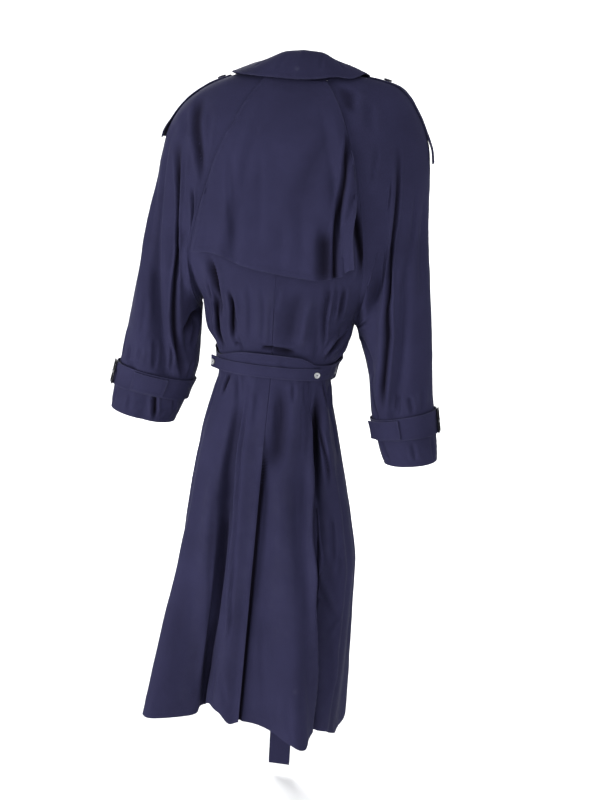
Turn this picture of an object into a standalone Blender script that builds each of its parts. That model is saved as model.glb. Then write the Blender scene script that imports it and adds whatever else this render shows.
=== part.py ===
"""Trench coat in the shape that it has on a wearer, with nobody in it.

Every wall of cloth is a closed shell: a grid of points on the garment's surface, the same
grid moved inwards by the cloth's thickness, and a rim that joins the two. The body, the
sleeves and the collar are worked out from short tables of sizes, and what lies on a panel
is made from that panel's points, moved out.

Metres, +Z up. The coat faces -Y and its back faces +Y, so the wearer's left is +X. The
origin is the middle of the neck opening, where the wearer's shoulders hold the coat.
"""

import math

import bpy
import numpy as np

# ---------------------------------------------------------------- cloth and seams
WALL = 0.0016             # body and sleeve cloth
DOUBLE = 0.0022           # two layers sewn together: straps, belt, collar
SEAM = 0.0003             # space between pieces that meet at a seam
REST = 0.0008             # space between a piece and the cloth that it lies on
SEAT = 0.0003             # space under a button or a buckle

# ---------------------------------------------------------------- heights
NECK_BACK = -0.030        # neck seam at the centre back
NECK_SIDE = -0.012        # neck seam at the top of the shoulder
NECK_FRONT = -0.050       # neck seam where the front's raglan seam ends
WAIST = -0.545            # middle of the belt
BELT_WIDTH = 0.044
HEM = -1.222
VENT_TOP = -0.694
VENT_LAP = 0.045          # how far the right back panel moves in under the left one
VENT_STEP = 0.0034        # how far in it lies there
FRONT_LAP = 0.075         # how far each front runs past the centre
FRONT_STEP = 0.0020       # how far out the left one lies there, and how far in the right one
BREAK = -0.430            # height where the lapels turn back


def table(columns, rows):
    """Rows of numbers as a dictionary with one array for each named column."""
    values = np.array(rows, dtype=float)
    return {name: values[:, i] for i, name in enumerate(columns.split())}


def smooth(x, xs, ys):
    """Smooth curve through the points (xs, ys) that never swings past them."""
    xs = np.asarray(xs, dtype=float)
    ys = np.asarray(ys, dtype=float)
    if xs[0] > xs[-1]:
        xs, ys = xs[::-1], ys[::-1]
    step = np.diff(xs)
    rise = np.diff(ys) / step
    slope = np.zeros_like(ys)
    same = rise[:-1] * rise[1:] > 0
    both = np.where(same, rise[:-1] + rise[1:], 1.0)
    slope[1:-1] = np.where(same, 2.0 * rise[:-1] * rise[1:] / both, 0.0)
    slope[0], slope[-1] = rise[0], rise[-1]
    x = np.clip(np.asarray(x, dtype=float), xs[0], xs[-1])
    i = np.clip(np.searchsorted(xs, x) - 1, 0, len(step) - 1)
    t = (x - xs[i]) / step[i]
    return (ys[i] * (1 + 2 * t) * (1 - t) ** 2 + ys[i + 1] * t * t * (3 - 2 * t)
            + step[i] * t * (1 - t) * (slope[i] * (1 - t) - slope[i + 1] * t))


def ease(t):
    """Soft step from 0 to 1."""
    t = np.clip(t, 0.0, 1.0)
    return t * t * (3.0 - 2.0 * t)


# ---------------------------------------------------------------- the body's girths
# Half-widths to the wearer's left and right and depths to the back and front of the centre.
# Above the underarm the widths take in the shoulders, down to where the arms part.
BODY = table("height left right back front", [
    (-1.260, 0.191, 0.176, 0.146, 0.148),
    (-1.070, 0.175, 0.181, 0.132, 0.132),
    (-0.940, 0.158, 0.181, 0.121, 0.121),
    (-0.850, 0.150, 0.166, 0.113, 0.112),
    (-0.760, 0.142, 0.147, 0.106, 0.104),
    (-0.670, 0.129, 0.125, 0.099, 0.096),
    (-0.610, 0.116, 0.108, 0.092, 0.089),
    (-0.575, 0.110, 0.104, 0.088, 0.085),
    (-0.545, 0.111, 0.108, 0.088, 0.085),
    (-0.522, 0.118, 0.121, 0.093, 0.090),
    (-0.490, 0.136, 0.133, 0.105, 0.100),
    (-0.463, 0.143, 0.138, 0.112, 0.104),
    (-0.440, 0.148, 0.148, 0.117, 0.107),
    (-0.400, 0.182, 0.176, 0.121, 0.110),
    (-0.350, 0.217, 0.212, 0.124, 0.112),
    (-0.300, 0.237, 0.236, 0.126, 0.113),
    (-0.250, 0.245, 0.249, 0.127, 0.113),
    (-0.200, 0.246, 0.252, 0.125, 0.111),
    (-0.150, 0.241, 0.248, 0.120, 0.106),
    (-0.115, 0.228, 0.239, 0.114, 0.099),
    (-0.090, 0.213, 0.229, 0.107, 0.091),
    (-0.063, 0.185, 0.213, 0.097, 0.081),
    (-0.045, 0.156, 0.200, 0.086, 0.072),
    (-0.030, 0.122, 0.182, 0.074, 0.063),
    (-0.020, 0.098, 0.148, 0.064, 0.055),
    (-0.012, 0.078, 0.078, 0.054, 0.047),
    (-0.004, 0.066, 0.064, 0.044, 0.039),
])
SQUARE = 0.10             # how much squarer than an ellipse the body's sections are


def body_sizes(z):
    """Half-widths and depths of the body at height z."""
    return [smooth(z, BODY["height"], BODY[name]) for name in ("left", "right", "back", "front")]


def body_base(a, z):
    """Point on the unfolded body. a is 0 at the centre back and grows to the wearer's left."""
    left, right, back, front = body_sizes(z)
    s, c = np.sin(a), np.cos(a)
    x = np.where(s >= 0, left, right) * s * (1 + SQUARE * c * c)
    y = np.where(c >= 0, back, front) * c * (1 + SQUARE * s * s)
    return np.stack(np.broadcast_arrays(x, y, z), axis=-1)


def body_angle(x, z, back=True):
    """Angle at which the body's section at height z reaches the distance x from the centre."""
    left, right, _, _ = body_sizes(z)
    share = np.clip(np.abs(x) / np.where(np.asarray(x) >= 0, left, right), 0.0, 1.0)
    low, high = np.zeros_like(share), np.full_like(share, math.pi / 2)
    for _ in range(30):
        middle = (low + high) / 2
        over = np.sin(middle) * (1 + SQUARE * np.cos(middle) ** 2) > share
        high = np.where(over, middle, high)
        low = np.where(over, low, middle)
    a = np.where(np.asarray(x) >= 0, low, -low)
    return a if back else np.where(a >= 0, math.pi - a, -math.pi - a)


# Folds of the body: where each runs (angles in degrees at its top and its low end), between
# which heights, its half-width, its height over the cloth at top, middle and low end
# (negative for a trough) and how sharp its crest is (2 soft, 1 sharp).
BODY_FOLDS = table("top_at low_at top low half_top half_low out_top out_mid out_low sharp", [
    # back skirt, from the wearer's left to right
    (62, 46, -0.62, -1.26, 0.020, 0.042, 0.000, 0.014, 0.058, 2.0),
    (24, 29, -0.58, -1.26, 0.012, 0.032, -0.004, -0.020, -0.054, 1.8),
    (14, 9, -0.57, -1.26, 0.010, 0.022, 0.003, 0.009, 0.010, 1.8),
    (-15, -33, -0.62, -1.26, 0.018, 0.036, 0.000, 0.013, 0.050, 2.0),
    (-42, -50, -0.60, -1.26, 0.010, 0.018, -0.006, -0.028, -0.040, 1.8),
    (-60, -64, -0.62, -1.26, 0.014, 0.022, 0.004, 0.010, 0.014, 2.0),
    (-78, -70, -0.66, -1.26, 0.014, 0.026, 0.000, -0.008, -0.014, 2.0),
    # gathers above the belt at the back
    (42, 48, -0.40, -0.53, 0.007, 0.006, -0.002, -0.007, -0.004, 1.5),
    (60, 62, -0.42, -0.53, 0.007, 0.006, -0.001, -0.007, -0.005, 1.5),
    (28, 26, -0.44, -0.52, 0.006, 0.005, 0.000, -0.006, -0.004, 1.5),
    (-30, -38, -0.42, -0.53, 0.008, 0.006, 0.000, -0.006, -0.005, 1.5),
    (-62, -52, -0.44, -0.53, 0.008, 0.006, 0.000, -0.007, -0.004, 1.5),
    (-76, -74, -0.45, -0.53, 0.008, 0.006, 0.000, 0.005, 0.004, 2.0),
    # front skirt
    (112, 118, -0.62, -1.26, 0.016, 0.034, 0.000, -0.012, -0.034, 2.0),
    (140, 142, -0.62, -1.26, 0.018, 0.036, 0.000, 0.012, 0.030, 2.0),
    (158, 156, -0.64, -1.26, 0.016, 0.030, 0.000, -0.004, -0.010, 2.0),
    (-112, -116, -0.62, -1.26, 0.016, 0.034, 0.000, 0.012, 0.030, 2.0),
    (-136, -138, -0.62, -1.26, 0.018, 0.034, 0.000, -0.012, -0.030, 2.0),
    (-154, -155, -0.64, -1.26, 0.016, 0.030, 0.000, 0.005, 0.010, 2.0),
    # gathers above the belt at the front
    (118, 122, -0.45, -0.53, 0.008, 0.006, 0.000, -0.006, -0.004, 1.5),
    (146, 142, -0.46, -0.53, 0.008, 0.006, 0.000, -0.006, -0.004, 1.5),
    (-120, -124, -0.45, -0.53, 0.008, 0.006, 0.000, -0.006, -0.004, 1.5),
    (-148, -142, -0.46, -0.53, 0.008, 0.006, 0.000, -0.006, -0.004, 1.5),
])
BELT_GRIP = 0.020         # how far above and below its middle the belt presses folds flat


def body_fold(a, z):
    """Height of the body's folds over the smooth surface."""
    left, right, back, front = body_sizes(z)
    girth = (np.where(np.sin(a) >= 0, left, right) + np.where(np.cos(a) >= 0, back, front)) / 2
    out = np.zeros(np.broadcast(a, z).shape)
    rows = zip(*BODY_FOLDS.values())
    for top_at, low_at, top, low, half_top, half_low, out_top, out_mid, out_low, sharp in rows:
        t = (top - z) / (top - low)
        inside = np.clip(t, 0.0, 1.0)
        middle = np.radians(top_at + (low_at - top_at) * inside)
        away = (a - middle + math.pi) % (2 * math.pi) - math.pi
        half = half_top + (half_low - half_top) * inside
        height = (out_top * (1 - inside) * (1 - 2 * inside) + out_mid * 4 * inside * (1 - inside)
                  + out_low * inside * (2 * inside - 1))
        fade = ease(1 + t * 8) * ease(1 + (1 - t) * 8)
        out = out + height * fade * np.exp(-np.abs(away * girth / half) ** sharp)
    grip = np.exp(-((z - WAIST) / BELT_GRIP) ** 4)
    return out * (1 - grip)


def underarm(side):
    """Height of the point where the side seam and the raglan seams meet."""
    return -0.440 if side > 0 else -0.463


def front_lap(a, z):
    """How far the lapped fronts move apart: out for the left front, in for the right one."""
    left, _, _, _ = body_sizes(z)
    reach = (math.pi - np.abs(a)) * left
    return FRONT_STEP * ease((FRONT_LAP + 0.035 - reach) / 0.035)


def vent_lap(a, z):
    """How far the right back panel moves in below the top of the vent."""
    below = ease((VENT_TOP + 0.040 - z) / 0.040)
    _, _, back, _ = body_sizes(z)
    return VENT_STEP * below * ease(1.0 - (np.abs(a) * back - VENT_LAP) / 0.030)


def body(a, z):
    """Point on the folded body."""
    a = np.asarray(a, dtype=float)
    z = np.asarray(z, dtype=float)
    a, z = np.broadcast_arrays(a, z)
    return body_base(a, z) + body_fold(a, z)[..., None] * base_normal(a, z)


def normal_of(surface, u, v, step_u, step_v):
    """Unit normal of a surface, from its slopes along v and u."""
    along_u = surface(u + step_u, v) - surface(u - step_u, v)
    along_v = surface(u, v + step_v) - surface(u, v - step_v)
    n = np.cross(along_v, along_u)
    return n / np.maximum(np.linalg.norm(n, axis=-1, keepdims=True), 1e-12)


def base_normal(a, z):
    """Outward direction of the unfolded body, level with the floor."""
    n = normal_of(body_base, a, z, 0.02, 0.004)
    n[..., 2] = 0.0
    return n / np.maximum(np.linalg.norm(n, axis=-1, keepdims=True), 1e-12)


def body_lifted(a, z, out):
    """Point at the distance out from the folded body, outwards."""
    a, z = np.broadcast_arrays(np.asarray(a, dtype=float), np.asarray(z, dtype=float))
    return body(a, z) + np.asarray(out)[..., None] * normal_of(body, a, z, 0.015, 0.003)


# ---------------------------------------------------------------- raglan seams
# Distance of each raglan seam from the centre, from the underarm up to the neck seam and on
# along the neck edge of the sleeve to the top of the shoulder.
SEAMS = {
    ("left", "back"): table("height x", [
        (-0.440, 0.148), (-0.430, 0.1495), (-0.415, 0.1545), (-0.400, 0.160), (-0.350, 0.165),
        (-0.300, 0.158),
        (-0.250, 0.147), (-0.185, 0.129), (-0.140, 0.112), (-0.080, 0.084), (-0.050, 0.066),
        (-0.030, 0.055), (-0.021, 0.065), (-0.012, 0.078)]),
    ("right", "back"): table("height x", [
        (-0.463, 0.138), (-0.453, 0.1385), (-0.440, 0.1420), (-0.420, 0.147), (-0.350, 0.150),
        (-0.300, 0.146),
        (-0.250, 0.138), (-0.185, 0.124), (-0.140, 0.110), (-0.080, 0.086), (-0.050, 0.068),
        (-0.030, 0.055), (-0.021, 0.065), (-0.012, 0.078)]),
    ("left", "front"): table("height x", [
        (-0.440, 0.148), (-0.430, 0.1493), (-0.415, 0.1535), (-0.400, 0.157), (-0.350, 0.155),
        (-0.250, 0.135),
        (-0.150, 0.108), (-0.080, 0.086), (-0.050, 0.074), (-0.030, 0.070), (-0.012, 0.078)]),
    ("right", "front"): table("height x", [
        (-0.463, 0.138), (-0.453, 0.1385), (-0.440, 0.1420), (-0.420, 0.146), (-0.350, 0.146),
        (-0.250, 0.132),
        (-0.150, 0.107), (-0.080, 0.086), (-0.050, 0.074), (-0.030, 0.070), (-0.012, 0.078)]),
}
# Heights above the underarm at which panels and sleeves share points along a raglan seam.
SEAM_STEPS = (0.0, 0.005, 0.016, 0.036, 0.065, 0.100, 0.140, 0.185, 0.230, 0.280, 0.330)


# Heights of the points that the sleeve's halves have along the neck edge.
NECK_STEPS = {"back": [-0.021, -0.0155], "front": [-0.036, -0.023, -0.0155]}


def sign(side):
    return 1.0 if side == "left" else -1.0


def seam_heights(side, half):
    """Heights of the points along a raglan seam, from the underarm to the neck seam."""
    low = underarm(sign(side))
    ends = (-0.075, NECK_BACK) if half == "back" else (-0.078, NECK_FRONT)
    return [low + step for step in SEAM_STEPS] + list(ends)


def seam_x(side, half, z):
    """Signed distance of a raglan seam from the centre at height z."""
    seam = SEAMS[side, half]
    return sign(side) * smooth(z, seam["height"], seam["x"])


# ---------------------------------------------------------------- the sleeves
# One row for each ring of a sleeve, from the neck to the cuff: its top point over the
# shoulder and down the outer arm, its low point from the underarm down the inner arm, and
# its depths to the back and the front. The rings of the shoulder lie on the body's girths.
SLEEVES = {
    "left": table("top_x top_z low_x low_z back front", [
        (0.078, -0.012, 0.1480, -0.4400, 0.100, 0.090),
        (0.125, -0.030, 0.1492, -0.4410, 0.100, 0.090),
        (0.190, -0.063, 0.1504, -0.4421, 0.100, 0.090),
        (0.228, -0.115, 0.1517, -0.4434, 0.098, 0.090),
        (0.245, -0.185, 0.1531, -0.4453, 0.094, 0.088),
        (0.253, -0.250, 0.1546, -0.4490, 0.086, 0.080),
        (0.262, -0.310, 0.1557, -0.4570, 0.079, 0.074),
        (0.270, -0.365, 0.1555, -0.4720, 0.073, 0.069),
        (0.278, -0.415, 0.1535, -0.4950, 0.069, 0.066),
        (0.285, -0.465, 0.1515, -0.5220, 0.067, 0.065),
        (0.292, -0.515, 0.1510, -0.5530, 0.066, 0.064),
        (0.299, -0.558, 0.1550, -0.5840, 0.064, 0.062),
        (0.305, -0.590, 0.1620, -0.6110, 0.060, 0.058),
        (0.310, -0.618, 0.1715, -0.6360, 0.058, 0.056),
        (0.312, -0.644, 0.1815, -0.6610, 0.059, 0.057),
        (0.313, -0.664, 0.1910, -0.6840, 0.060, 0.058)]),
    "right": table("top_x top_z low_x low_z back front", [
        (0.078, -0.012, 0.1380, -0.4630, 0.100, 0.090),
        (0.145, -0.0205, 0.1391, -0.4640, 0.100, 0.090),
        (0.198, -0.045, 0.1403, -0.4651, 0.100, 0.090),
        (0.229, -0.085, 0.1416, -0.4664, 0.100, 0.090),
        (0.244, -0.132, 0.1430, -0.4681, 0.100, 0.090),
        (0.252, -0.200, 0.1445, -0.4707, 0.096, 0.088),
        (0.256, -0.265, 0.1465, -0.4765, 0.087, 0.080),
        (0.263, -0.325, 0.1500, -0.4870, 0.079, 0.074),
        (0.271, -0.385, 0.1570, -0.5060, 0.073, 0.069),
        (0.279, -0.440, 0.1670, -0.5330, 0.070, 0.067),
        (0.286, -0.495, 0.1750, -0.5630, 0.067, 0.065),
        (0.292, -0.545, 0.1800, -0.5930, 0.064, 0.062),
        (0.298, -0.583, 0.1840, -0.6180, 0.060, 0.058),
        (0.304, -0.616, 0.1905, -0.6430, 0.058, 0.056),
        (0.310, -0.647, 0.1990, -0.6700, 0.058, 0.056),
        (0.315, -0.676, 0.2090, -0.6960, 0.059, 0.057),
        (0.318, -0.703, 0.2190, -0.7180, 0.060, 0.058)]),
}
# Rings between which a sleeve's section passes from the shoulder's shape to the arm's.
ARM_BEGINS = {"left": (3.0, 6.0), "right": (4.0, 7.0)}
SEAM_FADE = 3.5           # ring by which the raglan seam's curve has faded out
# Ring in the middle of each cuff strap, and half of the strap's width in rings.
CUFF_STRAP = {"left": (12.25, 0.74), "right": (13.40, 0.70)}

# Folds of the sleeves: turn is 0 at the underarm seam and 1 at the top seam, positive on
# the back and negative on the front. The other columns are as for the body's folds.
SLEEVE_FOLDS = {
    "left": table("top_at low_at top low half_top half_low out_top out_mid out_low sharp", [
        (0.80, 0.34, 3.2, 12.0, 0.013, 0.013, -0.002, -0.018, -0.006, 1.8),
        (0.93, 0.56, 3.4, 11.8, 0.020, 0.024, 0.000, 0.007, 0.003, 2.0),
        (0.36, 0.40, 0.6, 3.6, 0.012, 0.010, 0.000, -0.005, 0.000, 2.0),
        (0.12, 0.26, 6.2, 11.0, 0.014, 0.016, 0.000, -0.011, 0.000, 2.0),
        (0.70, 0.66, 10.0, 12.2, 0.011, 0.010, 0.000, -0.006, -0.005, 2.0),
        (0.46, 0.44, 12.4, 15.5, 0.012, 0.012, -0.004, -0.005, -0.003, 2.0),
        (-0.60, -0.45, 4.0, 11.8, 0.014, 0.013, 0.000, -0.012, -0.005, 1.9),
        (-0.82, -0.74, 5.0, 11.6, 0.018, 0.020, 0.000, 0.006, 0.002, 2.0),
        (-0.24, -0.30, 6.4, 10.6, 0.012, 0.012, 0.000, -0.009, 0.000, 1.6)]),
    "right": table("top_at low_at top low half_top half_low out_top out_mid out_low sharp", [
        (0.74, 0.40, 4.0, 13.0, 0.016, 0.012, 0.000, -0.011, -0.006, 1.7),
        (0.52, 0.24, 4.6, 12.6, 0.018, 0.020, 0.000, 0.008, 0.002, 2.0),
        (0.90, 0.88, 5.0, 12.0, 0.022, 0.022, 0.000, 0.004, 0.000, 2.0),
        (0.10, 0.20, 6.6, 10.0, 0.012, 0.012, 0.000, -0.008, 0.000, 1.6),
        (0.22, 0.20, 10.4, 13.2, 0.012, 0.011, 0.000, -0.006, -0.005, 2.0),
        (-0.58, -0.44, 4.6, 12.6, 0.014, 0.013, 0.000, -0.012, -0.005, 1.9),
        (-0.80, -0.72, 5.6, 12.4, 0.018, 0.020, 0.000, 0.006, 0.002, 2.0),
        (-0.26, -0.30, 7.0, 11.4, 0.012, 0.012, 0.000, -0.009, 0.000, 1.6)]),
}


def sleeve_rows(side, ring):
    """The sleeve's table read at any ring number, also between two rings."""
    sizes = SLEEVES[side]
    numbers = np.arange(len(sizes["top_x"]))
    return [smooth(ring, numbers, sizes[name])
            for name in ("top_x", "top_z", "low_x", "low_z", "back", "front")]


def last_ring(side):
    return len(SLEEVES[side]["top_x"]) - 1.0


def sleeve_base(side, turn, ring):
    """Point on the unfolded sleeve. turn is 0 at the underarm and 1 or -1 at the top."""
    turn, ring = np.broadcast_arrays(np.asarray(turn, dtype=float), np.asarray(ring, dtype=float))
    turn = (turn + 1.0) % 2.0 - 1.0
    back = turn >= 0
    u = np.abs(turn)
    top_x, top_z, low_x, low_z, deep_back, deep_front = sleeve_rows(side, ring)
    begin, end = ARM_BEGINS[side]
    arm = ease((ring - begin) / (end - begin))
    wide = body_sizes(top_z)[0 if side == "left" else 1]
    top_x = np.where(ring < begin, wide, top_x)
    rise = (1 - np.cos(math.pi * u)) / 2
    first = [values[0] for values in SLEEVES[side].values()]
    seam_z = first[3] + (first[1] - first[3]) * rise
    straight = first[2] + (first[0] - first[2]) * rise
    seam = np.where(back, np.abs(seam_x(side, "back", seam_z)),
                    np.abs(seam_x(side, "front", seam_z)))
    x = low_x + (top_x - low_x) * rise + (seam - straight) * ease(1 - ring / SEAM_FADE)
    z = low_z + (top_z - low_z) * rise
    y_seam = body_base(body_angle(sign(side) * seam, seam_z), seam_z)[..., 1]
    y_girth = body_base(body_angle(sign(side) * x, z), z)[..., 1]
    _, _, girth_back, girth_front = body_sizes(seam_z)
    y_seam = np.where(back, y_seam, -y_seam * girth_front / girth_back)
    _, _, girth_back, girth_front = body_sizes(z)
    y_girth = np.where(back, y_girth, -y_girth * girth_front / girth_back)
    upper = ease((rise - 0.10) / 0.25)
    y_shoulder = y_girth * upper + y_seam * (1 - upper)
    round_arm = np.sin(math.pi * u) * (1 + SQUARE * np.cos(math.pi * u) ** 2)
    y_arm = np.where(back, deep_back, -deep_front) * round_arm
    y = y_shoulder * (1 - arm) + y_arm * arm
    return np.stack([sign(side) * x, y, z], axis=-1)


def sleeve_fold(side, turn, ring):
    """Height of a sleeve's folds over the smooth surface."""
    top_x, top_z, low_x, low_z, deep_back, _ = sleeve_rows(side, ring)
    chord = np.hypot(top_x - low_x, top_z - low_z)
    around = math.pi / 2 * (chord / 2 + deep_back)
    out = np.zeros(np.broadcast(turn, ring).shape)
    rows = zip(*SLEEVE_FOLDS[side].values())
    for top_at, low_at, top, low, half_top, half_low, out_top, out_mid, out_low, sharp in rows:
        t = (ring - top) / (low - top)
        inside = np.clip(t, 0.0, 1.0)
        away = (turn - (top_at + (low_at - top_at) * inside) + 1.0) % 2.0 - 1.0
        half = half_top + (half_low - half_top) * inside
        height = (out_top * (1 - inside) * (1 - 2 * inside) + out_mid * 4 * inside * (1 - inside)
                  + out_low * inside * (2 * inside - 1))
        fade = ease(1 + t * 8) * ease(1 + (1 - t) * 8)
        out = out + height * fade * np.exp(-np.abs(away * around / half) ** sharp)
    middle, half_width = CUFF_STRAP[side]
    grip = np.exp(-((ring - middle) / (half_width * 1.05)) ** 6)
    return out * (1 - grip) * ease(ring / 1.0)


def sleeve_normal(side, surface, turn, ring):
    return -sign(side) * normal_of(surface, turn, ring, 0.012, 0.06)


def sleeve(side, turn, ring):
    """Point on the folded sleeve."""
    turn, ring = np.broadcast_arrays(np.asarray(turn, dtype=float), np.asarray(ring, dtype=float))
    ring = np.clip(ring, 0.0, last_ring(side))
    plain = lambda t, r: sleeve_base(side, t, np.clip(r, 0.0, last_ring(side)))
    out = sleeve_fold(side, turn, ring)
    return plain(turn, ring) + out[..., None] * sleeve_normal(side, plain, turn, ring)


def sleeve_lifted(side, turn, ring, out, folded=True):
    """Point at the distance out from a sleeve, outwards."""
    turn, ring = np.broadcast_arrays(np.asarray(turn, dtype=float), np.asarray(ring, dtype=float))
    last = last_ring(side)
    if folded:
        surface = lambda t, r: sleeve(side, t, np.clip(r, 0.0, last))
    else:
        surface = lambda t, r: sleeve_base(side, t, np.clip(r, 0.0, last))
    normal = sleeve_normal(side, surface, turn, ring)
    return surface(turn, ring) + np.asarray(out)[..., None] * normal


# ---------------------------------------------------------------- making the pieces
def material(name, colour, roughness, metallic=0.0):
    made = bpy.data.materials.new(name)
    made.use_nodes = True
    shader = made.node_tree.nodes["Principled BSDF"]
    shader.inputs["Base Color"].default_value = (*colour, 1.0)
    shader.inputs["Roughness"].default_value = roughness
    shader.inputs["Metallic"].default_value = metallic
    return made


def add_mesh(name, points, faces, finish):
    """An object from points and faces, turned so that its faces point outwards."""
    points = np.asarray(points, dtype=float)
    faces = [(face[0], face[k], face[k + 1]) for face in faces for k in range(1, len(face) - 1)]
    corners = points[np.array(faces)]
    if np.sum(corners[:, 0] * np.cross(corners[:, 1], corners[:, 2])) < 0:
        faces = [face[::-1] for face in faces]
    mesh = bpy.data.meshes.new(name)
    mesh.from_pydata([tuple(p) for p in points], [], faces)
    mesh.shade_smooth()
    mesh.set_sharp_from_angle(angle=math.radians(50))
    mesh.materials.append(finish)
    piece = bpy.data.objects.new(name, mesh)
    bpy.context.scene.collection.objects.link(piece)
    return piece


def grid_normals(grid, ring=False):
    """Unit normals of a grid of points, across its own faces."""
    if ring:
        across = np.roll(grid, -1, axis=1) - np.roll(grid, 1, axis=1)
    else:
        across = np.gradient(grid, axis=1)
    along = np.gradient(grid, axis=0)
    n = np.cross(across, along)
    return n / np.maximum(np.linalg.norm(n, axis=-1, keepdims=True), 1e-12)


def moved(grid, rough, distance, ring=False, seams=False, calm=0):
    """The grid moved by the distance across its own faces, to the side where rough lies.

    With seams, the outermost columns keep the points of rough, which is the same distance
    from the smooth surface, so that neighbouring pieces meet squarely. The directions are
    evened out along the columns calm times, where the rows lie close together.
    """
    n = grid_normals(grid, ring)
    if np.sum((rough - grid) * n) < 0:
        n = -n
    for _ in range(calm):
        n[1:-1] = (n[:-2] + 2 * n[1:-1] + n[2:]) / 4
        n /= np.linalg.norm(n, axis=-1, keepdims=True)
    made = grid + distance * n
    if seams:
        made[:, 0] = rough[:, 0]
        made[:, -1] = rough[:, -1]
    return made


def shell(name, outer, inner, finish, ring=False):
    """A closed wall between two grids of points. With ring, the columns close into a loop."""
    rows, columns = outer.shape[:2]
    points = np.concatenate([outer.reshape(-1, 3), inner.reshape(-1, 3)])
    index = np.arange(rows * columns).reshape(rows, columns)
    if ring:
        index = np.concatenate([index, index[:, :1]], axis=1)
    inside = index + rows * columns
    faces = []

    def length(a, b):
        return np.linalg.norm(points[a] - points[b])

    def strip(first, second):
        for i in range(len(first) - 1):
            a, b, c, d = first[i], first[i + 1], second[i + 1], second[i]
            faces.extend([[a, b, c], [a, c, d]])

    for r in range(rows - 1):
        for c in range(index.shape[1] - 1):
            corners = [(r, c), (r, c + 1), (r + 1, c + 1), (r + 1, c)]
            a, b, d, e = [index[corner] for corner in corners]
            halves = ((0, 1, 2), (0, 2, 3)) if length(a, d) < length(b, e) else ((0, 1, 3), (1, 2, 3))
            for half in halves:
                faces.append([index[corners[k]] for k in half])
                faces.append([inside[corners[k]] for k in half[::-1]])
    strip(inside[0], index[0])
    strip(index[-1], inside[-1])
    if not ring:
        strip(index[:, 0], inside[:, 0])
        strip(inside[:, -1], index[:, -1])
    faces = [[int(corner) for corner in face] for face in faces]
    return add_mesh(name, points, faces, finish)


# ---------------------------------------------------------------- body panels
BACK_COLUMNS = 15
FRONT_COLUMNS = 10
LAP_COLUMNS = 3           # columns of the right back panel that run under the left one
SKIRT_ROWS = (HEM, -1.160, -1.095, -1.030, -0.965, -0.900, -0.840, -0.780, -0.730,
              VENT_TOP, VENT_TOP + 0.012, -0.645, -0.605, -0.572, WAIST, -0.518, -0.490)
ROLL_TOP = 0.050          # where the roll line of a lapel meets the neck seam, from the centre


# Height of the hem at each angle, in degrees: it drops where the skirt flares and rises in
# the deep folds.
HEM_LINE = table("at height", [
    (-180, -1.226), (-130, -1.238), (-90, -1.236), (-66, -1.244), (-55, -1.240), (-46, -1.253),
    (-38, -1.260), (-28, -1.238), (-18, -1.224), (-8, -1.216), (0, -1.214), (4, -1.220),
    (11, -1.201), (18, -1.198), (25, -1.210), (33, -1.229), (54, -1.233), (70, -1.230),
    (90, -1.228), (130, -1.238), (180, -1.226)])


def hem_height(a):
    """Height of the hem at the angle a."""
    return smooth(np.degrees(a), HEM_LINE["at"], HEM_LINE["height"])


def row_height(z, a):
    """Height of a skirt row at the angle a: the lowest follows the hem."""
    low = ease((-0.95 - z) / (-0.95 - HEM))
    return z + (hem_height(a) - HEM) * low


def roll_x(side, z):
    """Signed distance from the centre of a front's free edge: the roll line above the break."""
    t = np.clip((z - BREAK) / (NECK_FRONT - BREAK), 0.0, 1.0)
    return sign(side) * (-FRONT_LAP + (ROLL_TOP + FRONT_LAP) * t)


def rows_of(side, half):
    """Heights of a body panel's rows, from the hem to the neck seam."""
    low = underarm(sign(side))
    skirt = [z for z in SKIRT_ROWS if z < low - 0.012]
    return skirt + seam_heights(side, half)


def outer_angle(side, half, z):
    """Angle of a panel's outer edge: the side seam, and the raglan seam above the underarm."""
    if z <= underarm(sign(side)) + 1e-6:
        a = sign(side) * math.pi / 2
    else:
        a = float(body_angle(seam_x(side, half, z), z, back=half == "back"))
    left, right, _, _ = body_sizes(z)
    return a - (0.5 * SEAM / 0.12) * sign(side) * (1 if half == "back" else -1)


def spread(start, end, full, count):
    """Angles from start to end. Only the outer ones give way where end falls short of full."""
    t = np.linspace(0, 1, count + 1)
    return start + (full - start) * t - (full - end) * t ** 3


def full_angle(side, half, z):
    """Angle that a row's columns would spread to if the seam did not turn in so quickly."""
    end = outer_angle(side, half, z)
    rise = max(z - underarm(sign(side)), 0.0)
    return end + (sign(side) * math.pi / 2 - end) * math.exp(-(rise / 0.05) ** 2)


def back_grid(side, out=0.0):
    """Points of a back panel, rows from hem to neck, columns from the centre to the side."""
    grid = []
    for z in rows_of(side, "back"):
        centre = sign(side) * 0.5 * SEAM / body_sizes(z)[2]
        a = spread(centre, outer_angle(side, "back", z), full_angle(side, "back", z), BACK_COLUMNS)
        lap = 0.0 * a
        if side == "right":
            if z > VENT_TOP + 1e-6:
                a = np.concatenate([a[0] + (a[1] - a[0]) * np.arange(LAP_COLUMNS + 1) / 8, a[1:]])
            else:
                a = np.concatenate([-a[LAP_COLUMNS:0:-1], a])
            lap = -vent_lap(a, z)
        grid.append(body_lifted(a, row_height(z, a), out + lap))
    return np.array(grid)


def front_grid(side, out=0.0):
    """Points of a front panel, rows from hem to neck, columns from its free edge to the side."""
    grid = []
    for z in rows_of(side, "front"):
        edge = float(body_angle(float(roll_x(side, z)), z, back=False))
        if edge * sign(side) < 0:
            edge += sign(side) * 2 * math.pi
        a = spread(edge, outer_angle(side, "front", z), full_angle(side, "front", z),
                   FRONT_COLUMNS)
        wrapped = (a + math.pi) % (2 * math.pi) - math.pi
        lap = front_lap(wrapped, z) * sign(side)
        grid.append(body_lifted(a, row_height(z, wrapped), out + lap))
    return np.array(grid)


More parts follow.
